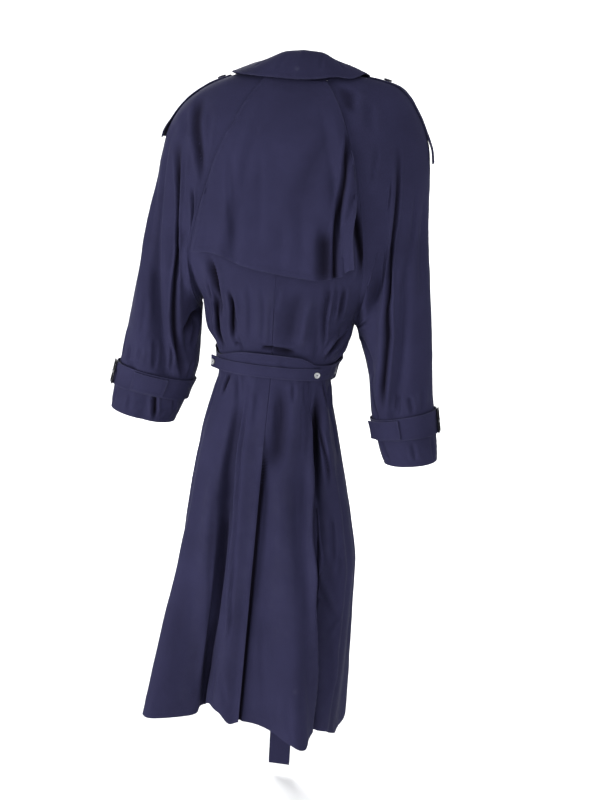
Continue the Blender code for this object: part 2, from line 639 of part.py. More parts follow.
def sleeve_turns(side, half):
    """Turns of a sleeve's lengthwise lines, which meet the panel's rows at the raglan seam."""
    low, top = underarm(sign(side)), NECK_SIDE
    heights = seam_heights(side, half)
    heights += NECK_STEPS[half]
    share = (np.array(heights + [top]) - low) / (top - low)
    turns = np.arccos(1 - 2 * np.clip(share, 0, 1)) / math.pi
    return turns if half == "back" else -turns


SLEEVE_RINGS = {
    "left": (0, 1, 2, 3, 4, 5, 6, 7, 8, 9, 10, 10.8, 11.6, 12.2, 12.8, 13.3, 14.2, 15),
    "right": (0, 1, 2, 3, 4, 5, 6, 7, 8, 9, 10, 11, 12, 12.7, 13.35, 14, 14.5, 15.3, 16),
}


def sleeve_grid(side, half, out):
    """Points of one half of a sleeve, rows from the shoulder to the cuff."""
    turns = sleeve_turns(side, half)
    rings = np.array(SLEEVE_RINGS[side], dtype=float)
    turn, ring = np.meshgrid(turns, rings)
    grid = sleeve_lifted(side, turn, ring, out + 0 * turn)
    towards = grid[1] - grid[0]
    grid[0] += SEAM * towards / np.linalg.norm(towards, axis=-1, keepdims=True)
    apart = 0.5 * SEAM * (1 if half == "back" else -1)
    grid[:, 0, 1] += apart
    grid[:, -1, 1] += apart
    return grid


def make_body(finish):
    for side in ("left", "right"):
        for half, grid in (("back", back_grid), ("front", front_grid)):
            outer = grid(side)
            shell(half + "_" + side, outer, moved(outer, grid(side, -WALL), WALL, seams=True), finish)


def make_sleeves(finish):
    for side in ("left", "right"):
        for half in ("back", "front"):
            outer = sleeve_grid(side, half, 0.0)
            inner = moved(outer, sleeve_grid(side, half, -WALL), WALL, seams=True, calm=4)
            shell("sleeve_%s_%s" % (side, half), outer, inner, finish)


def on_front(side, x, z, out):
    """Point at the distance out from a front panel, at the distance x from the centre."""
    a = body_angle(x, z, back=False)
    return body_lifted(a, z, out + sign(side) * front_lap(a, z))


# ---------------------------------------------------------------- storm flap
# Along the flap's hem, from the wearer's left (0) to the right (1): its height, and how far
# it stands off the back.
FLAP_HEM = table("share height off", [
    (0.00, -0.350, 0.007), (0.12, -0.352, 0.010), (0.26, -0.362, 0.013), (0.45, -0.375, 0.013),
    (0.70, -0.381, 0.012), (0.86, -0.373, 0.012), (0.93, -0.358, 0.016), (1.00, -0.354, 0.017)])
FLAP_FOLDS = table("top_at low_at top low half_top half_low out_top out_mid out_low sharp", [
    (0.16, 0.24, 0.10, 1.0, 0.045, 0.035, 0.000, 0.003, 0.006, 2.0),
    (0.24, 0.32, 0.15, 1.0, 0.035, 0.030, 0.000, -0.002, -0.004, 2.0),
    (0.80, 0.88, 0.10, 1.0, 0.034, 0.030, 0.000, -0.004, -0.007, 2.0),
    (0.90, 0.97, 0.10, 1.0, 0.045, 0.040, 0.000, 0.004, 0.006, 2.0)])
FLAP_TOP = -0.036
FLAP_REST = 0.0022        # the flap above the back panels where it lies on them
FLAP_INSET = 0.0015       # the flap's sides lie this far inside the raglan seams


def flap_point(share, down):
    """Point of the flap's outer side. share runs from left to right, down from top to hem."""
    share, down = np.broadcast_arrays(share, down)
    hem = smooth(share, FLAP_HEM["share"], FLAP_HEM["height"])
    z = FLAP_TOP + (hem - FLAP_TOP) * down
    left = body_angle(seam_x("left", "back", z) - FLAP_INSET, z)
    right = body_angle(seam_x("right", "back", z) + FLAP_INSET, z)
    off = smooth(share, FLAP_HEM["share"], FLAP_HEM["off"]) * down ** 1.6
    rows = zip(*FLAP_FOLDS.values())
    for top_at, low_at, top, low, half_top, half_low, out_top, out_mid, out_low, sharp in rows:
        t = np.clip((down - top) / (low - top), 0.0, 1.0)
        middle = top_at + (low_at - top_at) * t
        half = half_top + (half_low - half_top) * t
        off = off + (out_mid * 4 * t * (1 - t) + out_low * t * (2 * t - 1)) * np.exp(
            -np.abs((share - middle) / half) ** sharp)
    edge = np.minimum(share, 1 - share)
    off = np.maximum(off, 0.0) * (0.25 + 0.75 * ease(edge / 0.05 + down ** 3))
    return body_lifted(left + (right - left) * share, z, off + FLAP_REST + WALL)


def make_flap(finish):
    share, down = np.meshgrid(np.linspace(0, 1, 21), np.linspace(0, 1, 10) ** 0.9)
    outer = flap_point(share, down)
    shell("storm_flap", outer, moved(outer, outer * (0.9, 0.9, 1.0), WALL), finish)


# ---------------------------------------------------------------- collar and lapels
# Half of the collar, from the centre back to its point at the front: the roll line over
# which the collar turns down, and the collar's outer edge on the body to each side.
COLLAR = table("turn roll_x roll_y roll_z edge_x left_z right_z", [
    (0, 0.000, 0.047, 0.0205, 0.000, -0.047, -0.047),
    (30, 0.033, 0.042, 0.0175, 0.050, -0.045, -0.045),
    (60, 0.054, 0.025, 0.0080, 0.092, -0.038, -0.038),
    (90, 0.071, -0.006, 0.0010, 0.121, -0.032, -0.0165),
    (115, 0.074, -0.042, -0.0110, 0.124, -0.056, -0.056),
    (140, 0.066, -0.068, -0.0280, 0.116, -0.094, -0.094),
    (160, 0.054, -0.079, -0.0390, 0.106, -0.132, -0.132)])
COLLAR_OUT = 0.0072       # the collar's outer edge above the body
COLLAR_LEAN = 0.006       # how far the roll line leans to the wearer's right
COLLAR_TILT = 0.045       # how much it drops towards the wearer's left
COLLAR_CROWN = (0.40, 0.12)    # where the turned collar bends: share of its reach and its drop
STAND_IN = 0.0028         # the collar stand inside the neck seam
COLLAR_END = 160.0
COLLAR_STATIONS = 27


def collar_row(turn, name):
    return smooth(np.abs(turn), COLLAR["turn"], COLLAR[name])


def neck_point(turn):
    """Point of the neck seam at a turn in degrees: across the back panels, along the edges of
    the sleeve's halves to the top of the shoulder and down again, and across the front."""
    side = "left" if turn >= 0 else "right"
    t = abs(turn)
    if t < 60:
        x, z = seam_x(side, "back", NECK_BACK) * t / 60, NECK_BACK
    elif t < 90:
        z = NECK_SIDE + (NECK_BACK - NECK_SIDE) * ((90 - t) / 30) ** 2
        x = seam_x(side, "back", z)
    elif t < 140:
        z = NECK_SIDE + (NECK_FRONT - NECK_SIDE) * ((t - 90) / 50) ** 2
        x = seam_x(side, "front", z)
    else:
        z = NECK_FRONT
        x = seam_x(side, "front", z) + sign(side) * (t - 140) / 20 * (ROLL_TOP - 0.072)
    a = body_angle(x, z, back=t < 90)
    return body_base(a, z) - STAND_IN * base_normal(a, z)


def collar_frame(turn):
    """Neck seam point, roll point and edge point of the collar at each turn, in degrees."""
    side = np.where(turn >= 0, 1.0, -1.0)
    edge_x = collar_row(turn, "edge_x") * side
    edge_z = np.where(side > 0, collar_row(turn, "left_z"), collar_row(turn, "right_z"))
    edge = []
    for i in range(len(turn)):
        a = body_angle(edge_x[i], edge_z[i], back=bool(abs(turn[i]) < 89))
        edge.append(body_lifted(a, edge_z[i], COLLAR_OUT))
    x = collar_row(turn, "roll_x") * side
    lean = COLLAR_LEAN * ease((turn + 110) / 50)
    roll = np.stack([x - lean, collar_row(turn, "roll_y"),
                     collar_row(turn, "roll_z") - COLLAR_TILT * x], axis=-1)
    return np.array([neck_point(t) for t in turn]), roll, np.array(edge)


def make_collar(finish):
    neck, roll, edge = collar_frame(np.linspace(-COLLAR_END, COLLAR_END, COLLAR_STATIONS))
    away = edge - roll
    away[:, 2] = 0
    away /= np.linalg.norm(away, axis=-1, keepdims=True)
    up = np.array([0, 0, 1.0])
    crown = roll + COLLAR_CROWN[0] * np.linalg.norm(edge - roll, axis=-1, keepdims=True) * away
    crown[:, 2] -= COLLAR_CROWN[1] * (roll[:, 2] - edge[:, 2])
    rows = []
    for t in (0.0, 0.15, 0.5, 1.0):
        rows.append(roll * (1 - t) ** 2 + crown * 2 * t * (1 - t) + edge * t * t)
    outer = np.array(rows)
    shell("collar_fall", outer, moved(outer, outer - 0.01 * up, DOUBLE), finish)
    foot = neck + up * 2.0 * SEAM
    head = roll - up * (DOUBLE + 2 * REST) - 0.5 * STAND_IN * away
    outer = np.array([foot, (foot + head) / 2 - 0.5 * STAND_IN * away, head])
    shell("collar_stand", outer, moved(outer, outer - 0.01 * away, WALL), finish)


LAPEL_TIP = (0.122, -0.160)
LAPEL_CROSS = 0.004       # space beside the left front's roll line, which covers the rest
LAPEL_ENDS = {"left": 0.10, "right": 0.50}


def make_lapel(side, finish):
    """A lapel lies on its front between the roll line and its own free edge."""
    foot = BREAK + 0.012
    grid = []
    for t in np.linspace(LAPEL_ENDS[side], 1.0, 9):
        free_x = sign(side) * (-FRONT_LAP + (LAPEL_TIP[0] + FRONT_LAP) * t)
        free_z = foot + (LAPEL_TIP[1] - foot) * t ** 0.95
        roll_z = foot + (NECK_FRONT - 0.008 - foot) * t
        if side == "right":
            roll_z = max(roll_z, -0.222)
        start = float(roll_x(side, roll_z)) + sign(side) * 0.002
        row = []
        for q in np.linspace(0, 1, 6):
            x = start + (free_x - start) * q
            z = roll_z + (free_z - roll_z) * q
            if side == "right":
                x = min(x, float(roll_x("left", z)) - LAPEL_CROSS)
            out = REST + DOUBLE + 0.004 * math.sin(math.pi * q) * t + 0.004 * q * t
            row.append(on_front(side, x, z, out))
        grid.append(row)
    outer = np.array(grid)
    shell("lapel_" + side, outer, moved(outer, outer * (1, 0.9, 1), DOUBLE), finish)


# ---------------------------------------------------------------- waist
BELT_OFF = 0.0013         # the belt above the cloth that it presses on
BELT_GAP = 0.008          # how far its upper edge stands off at the back
STRAP_WIDTH = 0.022
STRAP_LOW = -0.011        # middle of the waist strap below the middle of the belt
STRAP_ENDS = (76.0, -48.0)    # angles of the waist strap's two ends
STRAP_BUTTONS = (68.5, -43.5)
BELT_HALF = BELT_WIDTH / 2


def body_lifted_base(a, z, out):
    """Point at the distance out from the unfolded body, level with the floor."""
    a, z = np.broadcast_arrays(np.asarray(a, dtype=float), np.asarray(z, dtype=float))
    return body_base(a, z) + np.asarray(out)[..., None] * base_normal(a, z)


def belt_point(a, share, out=0.0):
    """Point of the belt's outer side. share is -1 at its lower edge and 1 at its upper one."""
    z = WAIST + 0.001 + BELT_HALF * share + 0 * a
    off = BELT_OFF + DOUBLE + FRONT_STEP
    stand = BELT_GAP * np.exp(-((a + 0.12) / 0.45) ** 2) * ease((share + 1) / 2)
    return body_lifted_base(a, z, off + stand + out)


def make_belt(finish):
    a, share = np.meshgrid(np.linspace(-math.pi, math.pi, 49)[:-1], np.linspace(-1, 1, 3))
    outer = belt_point(a, share)
    inner = belt_point(a, share, -DOUBLE)
    shell("belt", outer, inner, finish, ring=True)


def strap_stand(a):
    """How far the waist strap stands off the belt, which is most at its ends."""
    left, right = np.degrees(a) - STRAP_ENDS[0], np.degrees(a) - STRAP_ENDS[1]
    return REST + DOUBLE + 0.007 * np.exp(-(left / 9.0) ** 2) + 0.002 * np.exp(-(right / 6.5) ** 2)


def make_waist_strap(finish):
    a = np.radians(np.linspace(*STRAP_ENDS, 23))
    rows = []
    for share in (-1.0, 1.0):
        level_share = (STRAP_LOW + share * STRAP_WIDTH / 2) / BELT_HALF
        rows.append(belt_point(a, level_share, strap_stand(a)))
    outer = np.array(rows)
    shell("waist_strap", outer, moved(outer, outer * (0.9, 0.9, 1), DOUBLE), finish)


LOOP_HALF = 0.036         # half of a belt loop's height


def make_belt_loops(finish):
    for side in ("left", "right"):
        z = WAIST + np.linspace(-LOOP_HALF, LOOP_HALF, 9)
        over = np.exp(-(((z - WAIST) / (0.85 * LOOP_HALF)) ** 10))
        belt_top = BELT_OFF + DOUBLE + FRONT_STEP + REST + WALL
        rise = belt_top * over + (REST + WALL) * (1 - over)
        rows = []
        for shift in (-0.006, 0.006):
            a = sign(side) * math.pi / 2 * 1.06 + shift / 0.09 + 0 * z
            rows.append(body_lifted_base(a, z, rise + REST))
        outer = np.array(rows).transpose(1, 0, 2)
        shell("belt_loop_" + side, outer, moved(outer, outer * (0.9, 0.9, 1), WALL), finish)


# The belt's long end, which hangs over the belt at the front: height, sideways place and
# distance in front of the body.
TAIL = table("height x off", [
    (-0.516, 0.004, 0.0056), (-0.580, 0.003, 0.0061), (-0.640, 0.000, 0.0120),
    (-0.800, -0.010, 0.0200), (-1.000, -0.026, 0.0240), (-1.222, -0.044, 0.0240),
    (-1.330, -0.051, 0.0200), (-1.436, -0.056, 0.0120)])


def make_belt_tail(finish):
    z = np.linspace(TAIL["height"][0], TAIL["height"][-1], 22)
    x = smooth(z, TAIL["height"], TAIL["x"])
    off = smooth(z, TAIL["height"], TAIL["off"])
    _, _, _, front = body_sizes(np.maximum(z, HEM))
    y = -(front + off + DOUBLE + 0.004 * np.sin((z + 0.6) * 9.0) * ease((-0.62 - z) / 0.3))
    rows = []
    for shift in np.linspace(-BELT_HALF, BELT_HALF, 3):
        rows.append(np.stack([x + shift, y, z], axis=-1))
    outer = np.array(rows).transpose(1, 0, 2)
    shell("belt_tail", outer, moved(outer, outer * (1, 0.9, 1), DOUBLE), finish)


# ---------------------------------------------------------------- sleeve trim
EPAULETTE = {"left": (1.10, 3.52), "right": (0.72, 4.38)}    # rings of its two ends
EPAULETTE_HALF = (0.020, 0.026)    # half-widths at its two ends
EPAULETTE_LIFT = 0.005             # how far its outer end stands off


def epaulette_point(side, share, along, out=0.0):
    """Point of an epaulette's outer side. share is -1 to 1 across it, along 0 to 1 outwards."""
    start, end = EPAULETTE[side]
    ring = start + (end - start) * along
    top_x, top_z, low_x, low_z, deep_back, _ = sleeve_rows(side, ring)
    around = math.pi / 2 * (np.hypot(top_x - low_x, top_z - low_z) / 2 + deep_back)
    half = EPAULETTE_HALF[0] + (EPAULETTE_HALF[1] - EPAULETTE_HALF[0]) * along
    turn = 1.0 + share * half / around
    stand = REST + DOUBLE + EPAULETTE_LIFT * ease((along - 0.55) / 0.45) ** 2
    return sleeve_lifted(side, turn, ring, stand + out, folded=False)


def make_epaulettes(finish):
    for side in ("left", "right"):
        share, along = np.meshgrid(np.linspace(-1, 1, 5), np.linspace(0, 1, 13))
        outer = epaulette_point(side, share, along)
        inner = moved(outer, outer * (0.95, 0.9, 1) - (0, 0, 0.02), DOUBLE)
        shell("epaulette_" + side, outer, inner, finish)


STRAP_OFF = 0.0010        # a cuff strap above the sleeve


def cuff_strap_point(side, turn, share, out=0.0):
    """Point of a cuff strap's outer side. share is -1 at its upper edge and 1 at its lower."""
    middle, half = CUFF_STRAP[side]
    ring = middle + half * share
    flare = 0.002 * share * share
    return sleeve_lifted(side, turn, ring, STRAP_OFF + DOUBLE + flare + out, folded=False)


def make_cuff_straps(finish):
    for side in ("left", "right"):
        turn, share = np.meshgrid(np.linspace(-1, 1, 29)[:-1], np.linspace(-1, 1, 3))
        outer = cuff_strap_point(side, turn, share)
        inner = cuff_strap_point(side, turn, share, -DOUBLE)
        shell("cuff_strap_" + side, outer, inner, finish, ring=True)


# Where each strap's free end starts and stops (turns of the sleeve, in the direction from the
# buckle), and how far its tip runs on straight past the sleeve.
STRAP_FREE = {"left": (0.34, 0.62, 0.0), "right": (0.46, 0.20, 0.022)}
BUCKLE_TURN = {"left": 0.90, "right": 0.97}


def make_strap_ends(finish):
    """The free end of each cuff strap, which lies over the strap on the sleeve's back."""
    for side in ("left", "right"):
        first, last, past = STRAP_FREE[side]
        along, share = np.meshgrid(np.linspace(0, 1, 7), (-0.86, 0.86))
        turn = first + (last - first) * along
        outer = cuff_strap_point(side, turn, share, REST + DOUBLE)
        step = outer[:, -1] - outer[:, -2]
        step /= np.linalg.norm(step, axis=-1, keepdims=True)
        if past > 0:
            tip = outer[:, -1] + past * step
            outer = np.concatenate([outer, tip[:, None]], axis=1)
        rough = cuff_strap_point(side, turn, share, REST)
        if past > 0:
            rough = np.concatenate([rough, rough[:, -1:] + past * step[:, None]], axis=1)
        shell("cuff_strap_end_" + side, outer, moved(outer, rough, DOUBLE), finish)


# ---------------------------------------------------------------- buttons and buckles
LIGHT_BUTTON = (0.0058, 0.0028)    # radius and thickness
FRONT_BUTTON = (0.0125, 0.0042)
BUTTON_SIDES = 14
# Rows of front buttons, with the lift that each button needs over the panel's faces.
FRONT_BUTTONS = table("height x left right", [
    (-0.462, 0.056, 0.0, 0.0), (-0.655, 0.056, 0.0, 0.0), (-0.800, 0.056, 0.0007, 0.0)])


def axes_on(surface, u, v, step_u, step_v):
    """Point of a surface with unit directions along u, along v and across both."""
    at = surface(u, v)
    along_u = surface(u + step_u, v) - surface(u - step_u, v)
    along_v = surface(u, v + step_v) - surface(u, v - step_v)
    along_u /= np.linalg.norm(along_u)
    across = np.cross(along_u, along_v)
    across /= np.linalg.norm(across)
    return at, along_u, np.cross(across, along_u), across


def make_button(name, at, right, up, out, size, finish):
    """A round button with a soft rim, its underside at a point."""
    radius, thick = size
    turn = np.linspace(0, 2 * math.pi, BUTTON_SIDES, endpoint=False)
    circle = np.cos(turn)[:, None] * right + np.sin(turn)[:, None] * up
    points, faces = [], []
    for share, height in ((0.80, 0.0), (1.0, 0.40), (0.93, 0.90), (0.72, 1.0)):
        points.extend(at + share * radius * circle + height * thick * out)
    for ring in range(3):
        for k in range(BUTTON_SIDES):
            a, b = ring * BUTTON_SIDES + k, ring * BUTTON_SIDES + (k + 1) % BUTTON_SIDES
            faces.append([a, b, b + BUTTON_SIDES, a + BUTTON_SIDES])
    faces.append(list(range(BUTTON_SIDES))[::-1])
    faces.append(list(range(3 * BUTTON_SIDES, 4 * BUTTON_SIDES)))
    add_mesh(name, points, faces, finish)


def make_frame(name, at, right, up, out, size, finish):
    """A buckle's flat frame with rounded corners, its underside at a point."""
    half_w, half_h, bar, thick = size
    path = []
    for corner in range(4):
        sx, sy = (1, 1, -1, -1)[corner], (1, -1, -1, 1)[corner]
        for k in range(3):
            t = math.radians(45 * k)
            dx, dy = (math.sin(t), math.cos(t)) if corner % 2 == 0 else (math.cos(t), math.sin(t))
            path.append((sx * (half_w - bar * (1 - dx)), sy * (half_h - bar * (1 - dy))))
    points, faces = [], []
    for x, y in path:
        inner = (x * (1 - bar / half_w), y * (1 - bar / half_h))
        for (px, py), height in (((x, y), 0), ((x, y), thick), (inner, thick), (inner, 0)):
            points.append(at + px * right + py * up + height * out)
    count = len(path)
    for k in range(count):
        for side in range(4):
            a, b = 4 * k + side, 4 * k + (side + 1) % 4
            c, d = 4 * ((k + 1) % count) + (side + 1) % 4, 4 * ((k + 1) % count) + side
            faces.append([a, b, c, d])
    add_mesh(name, points, faces, finish)


def make_prong(name, at, right, up, out, size, finish):
    """A buckle's prong: a flat pin that lies over the frame from one side to the other."""
    half_w, half_h, thick = size
    points = []
    for x in (-half_w, half_w):
        for y, height in ((-half_h, 0), (half_h, 0), (0.7 * half_h, thick), (-0.7 * half_h, thick)):
            points.append(at + x * right + y * up + height * out)
    faces = [[0, 1, 2, 3], [7, 6, 5, 4], [0, 4, 5, 1], [1, 5, 6, 2], [2, 6, 7, 3], [3, 7, 4, 0]]
    add_mesh(name, points, faces, finish)


BELT_BUCKLE = (0.024, 0.031, 0.0070, 0.0032)    # half-width, half-height, bar, thickness
CUFF_BUCKLE = (0.014, 0.023, 0.0050, 0.0026)
BUCKLE_AT = -0.050        # middle of the belt's buckle from the centre, to the wearer's right
EPAULETTE_BUTTON = (0.0085, 0.0032)


def facing(out, outwards):
    """The direction, turned round if it does not point outwards."""
    return out if np.dot(out, outwards) > 0 else -out


def make_buckle(name, edges, right, size, frame_finish, pin_finish):
    """A buckle over a strap, from the strap's edge points and the direction along it."""
    low, high = edges
    up = (high - low) / np.linalg.norm(high - low)
    right = right / np.linalg.norm(right)
    at = (low + high) / 2
    out = facing(np.cross(right, up), at * (1, 1, 0))
    out /= np.linalg.norm(out)
    half_w, _, bar, thick = size
    make_frame(name, at, right, up, out, size, frame_finish)
    pin = (half_w - 0.2 * bar, 0.0016, 0.0018)
    make_prong(name + "_prong", at + (thick + SEAM) * out, right, up, out, pin, pin_finish)


def make_waist_buttons(finish):
    share = STRAP_LOW / BELT_HALF
    strap = lambda a, s: belt_point(a, s, strap_stand(a) + 2 * SEAT)
    for side, degrees in zip(("left", "right"), STRAP_BUTTONS):
        at, right, up, out = axes_on(strap, math.radians(degrees), share, 0.03, 0.2)
        out = facing(out, at * (1, 1, 0))
        make_button("waist_button_" + side, at, right, up, out, LIGHT_BUTTON, finish)


def make_front_buttons(finish):
    front = lambda x, z: on_front("left", x, z, SEAT)
    for row, (z, x) in enumerate(zip(FRONT_BUTTONS["height"], FRONT_BUTTONS["x"])):
        for side in ("left", "right"):
            at, right, up, out = axes_on(front, sign(side) * x, z, 0.01, 0.01)
            out = facing(out, np.array([0, -1, 0]))
            at = at + FRONT_BUTTONS[side][row] * out
            name = "front_button_%s_%d" % (side, row + 1)
            make_button(name, at, right, up, out, FRONT_BUTTON, finish)


def make_buckles(frame_finish, pin_finish):
    turn = math.pi - BUCKLE_AT / 0.125
    edges = [belt_point(turn, share, 0.0) for share in (-1.0, 1.0)]
    right = belt_point(turn + 0.03, 0.0) - belt_point(turn - 0.03, 0.0)
    make_buckle("belt_buckle", edges, right, BELT_BUCKLE, frame_finish, pin_finish)
    for side in ("left", "right"):
        turn = BUCKLE_TURN[side]
        edges = [cuff_strap_point(side, turn, share, SEAT) for share in (-1.0, 1.0)]
        right = cuff_strap_point(side, turn + 0.05, 0.0) - cuff_strap_point(side, turn - 0.05, 0.0)
        name = "cuff_buckle_" + side
        make_buckle(name, edges, right, CUFF_BUCKLE, frame_finish, pin_finish)


def make_epaulette_buttons(finish):
    for side in ("left", "right"):
        tab = lambda share, along: epaulette_point(side, share, along, SEAT)
        at, right, up, out = axes_on(tab, 0.0, 0.10, 0.2, 0.05)
        out = facing(out, np.array([0, 0, 1.0]))
        make_button("epaulette_button_" + side, at, right, up, out, EPAULETTE_BUTTON, finish)


def main():
    for piece in list(bpy.data.objects):
        bpy.data.objects.remove(piece)
    cloth = material("navy gabardine", (0.030, 0.030, 0.075), 0.75)
    light = material("light button", (0.62, 0.62, 0.66), 0.35)
    dark = material("navy button", (0.016, 0.016, 0.030), 0.35)
    covered = material("covered buckle", (0.022, 0.020, 0.036), 0.50)
    metal = material("dark metal pin", (0.10, 0.10, 0.11), 0.35, 1.0)
    make_body(cloth)
    make_sleeves(cloth)
    make_flap(cloth)
    make_collar(cloth)
    make_lapel("left", cloth)
    make_lapel("right", cloth)
    make_belt(cloth)
    make_waist_strap(cloth)
    make_belt_loops(cloth)
    make_belt_tail(cloth)
    make_epaulettes(cloth)
    make_cuff_straps(cloth)
    make_strap_ends(cloth)
    make_waist_buttons(light)
    make_front_buttons(dark)
    make_epaulette_buttons(dark)
    make_buckles(covered, metal)


main()
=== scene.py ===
"""Looks of the trench coat: navy gabardine cut, pressed, creased and topstitched over the coat's
solids, with its buttons, buckles and pins.

Metres, +Z up. The coat faces -Y and its back faces +Y, so the wearer's left is +X.
"""

import math

import bpy
import numpy as np
from mathutils import Matrix, Vector
from mathutils.bvhtree import BVHTree


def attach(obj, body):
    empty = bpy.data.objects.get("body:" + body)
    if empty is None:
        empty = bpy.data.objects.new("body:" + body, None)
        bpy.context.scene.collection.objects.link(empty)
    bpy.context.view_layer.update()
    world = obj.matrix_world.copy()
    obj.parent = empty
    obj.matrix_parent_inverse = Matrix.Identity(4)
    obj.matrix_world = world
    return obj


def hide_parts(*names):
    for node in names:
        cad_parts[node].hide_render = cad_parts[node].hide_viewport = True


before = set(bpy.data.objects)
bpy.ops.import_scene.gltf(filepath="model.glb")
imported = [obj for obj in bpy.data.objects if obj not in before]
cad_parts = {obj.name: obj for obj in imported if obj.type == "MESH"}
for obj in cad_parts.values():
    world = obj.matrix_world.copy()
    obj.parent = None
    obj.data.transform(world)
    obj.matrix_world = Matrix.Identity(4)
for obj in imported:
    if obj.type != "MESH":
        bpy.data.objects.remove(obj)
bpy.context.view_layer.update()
bpy.ops.object.select_all(action="DESELECT")

# ---------------------------------------------------------------- camera
EYE = (-0.29248642, 2.38211076, -0.17)
LOOK_RIGHT = (-0.98939498, -0.11729661, 0.08566846)
LOOK_UP = (0.10534653, -0.17343383, 0.97919498)
LOOK_ALONG = (0.09999844, -0.97783547, -0.18395135)
LENS = 57.735


def add_camera():
    """The camera behind the coat, a little above its waist."""
    data = bpy.data.cameras.new("studio camera")
    data.sensor_fit = "AUTO"
    data.sensor_width = 36.0
    data.lens = LENS
    camera = bpy.data.objects.new("studio camera", data)
    bpy.context.scene.collection.objects.link(camera)
    columns = (LOOK_RIGHT, LOOK_UP, tuple(-v for v in LOOK_ALONG), EYE)
    camera.matrix_world = Matrix([[c[i] for c in columns] for i in range(3)] + [[0, 0, 0, 1]])
    bpy.context.scene.camera = camera


add_camera()

# ---------------------------------------------------------------- the coat's form
WALL = 0.0016             # body and sleeve cloth
DOUBLE = 0.0022           # two layers sewn together: straps, belt, collar
SEAM = 0.0003             # space between pieces that meet at a seam
REST = 0.0008             # space between a piece and the cloth that it lies on
SEAT = 0.0003             # space under a button or a buckle
NECK_BACK = -0.030        # neck seam at the centre back
NECK_SIDE = -0.012        # neck seam at the top of the shoulder
NECK_FRONT = -0.050       # neck seam where the front's raglan seam ends
WAIST = -0.545            # middle of the belt
BELT_WIDTH = 0.044
HEM = -1.222
VENT_TOP = -0.694
VENT_LAP = 0.045          # how far the right back panel moves in under the left one
VENT_STEP = 0.0034        # how far in it lies there
FRONT_LAP = 0.075         # how far each front runs past the centre
FRONT_STEP = 0.0020       # how far out the left one lies there, and how far in the right one
BREAK = -0.430            # height where the lapels turn back
FOLD_ENDS = 8             # a fold fades out over one part in so many of its length


def table(columns, rows):
    """Rows of numbers as a dictionary with one array for each named column."""
    values = np.array(rows, dtype=float)
    return {name: values[:, i] for i, name in enumerate(columns.split())}


def smooth(x, xs, ys):
    """Smooth curve through the points (xs, ys) that never swings past them."""
    xs = np.asarray(xs, dtype=float)
    ys = np.asarray(ys, dtype=float)
    if xs[0] > xs[-1]:
        xs, ys = xs[::-1], ys[::-1]
    step = np.diff(xs)
    rise = np.diff(ys) / step
    slope = np.zeros_like(ys)
    same = rise[:-1] * rise[1:] > 0
    both = np.where(same, rise[:-1] + rise[1:], 1.0)
    slope[1:-1] = np.where(same, 2.0 * rise[:-1] * rise[1:] / both, 0.0)
    slope[0], slope[-1] = rise[0], rise[-1]
    x = np.clip(np.asarray(x, dtype=float), xs[0], xs[-1])
    i = np.clip(np.searchsorted(xs, x) - 1, 0, len(step) - 1)
    t = (x - xs[i]) / step[i]
    return (ys[i] * (1 + 2 * t) * (1 - t) ** 2 + ys[i + 1] * t * t * (3 - 2 * t)
            + step[i] * t * (1 - t) * (slope[i] * (1 - t) - slope[i + 1] * t))


def ease(t):
    """Soft step from 0 to 1."""
    t = np.clip(t, 0.0, 1.0)
    return t * t * (3.0 - 2.0 * t)


def unit(n):
    """Vectors of length 1 in the same directions."""
    return n / np.maximum(np.linalg.norm(n, axis=-1, keepdims=True), 1e-12)


def as_floats(u, v):
    """The two coordinates as arrays of one shape."""
    return np.broadcast_arrays(np.asarray(u, dtype=float), np.asarray(v, dtype=float))


def fold_height(folds, v, apart):
    """Height of a table's folds at the distance v along them. apart gives how many metres each
    place lies from the middle of a fold."""
    out = 0.0
    rows = zip(*folds.values())
    for top_at, low_at, top, low, half_top, half_low, out_top, out_mid, out_low, sharp in rows:
        t = (v - top) / (low - top)
        inside = np.clip(t, 0.0, 1.0)
        half = half_top + (half_low - half_top) * inside
        height = (out_top * (1 - inside) * (1 - 2 * inside) + out_mid * 4 * inside * (1 - inside)
                  + out_low * inside * (2 * inside - 1))
        fade = ease(1 + t * FOLD_ENDS) * ease(1 + (1 - t) * FOLD_ENDS)
        away = apart(top_at + (low_at - top_at) * inside)
        out = out + height * fade * np.exp(-np.abs(away / half) ** sharp)
    return out


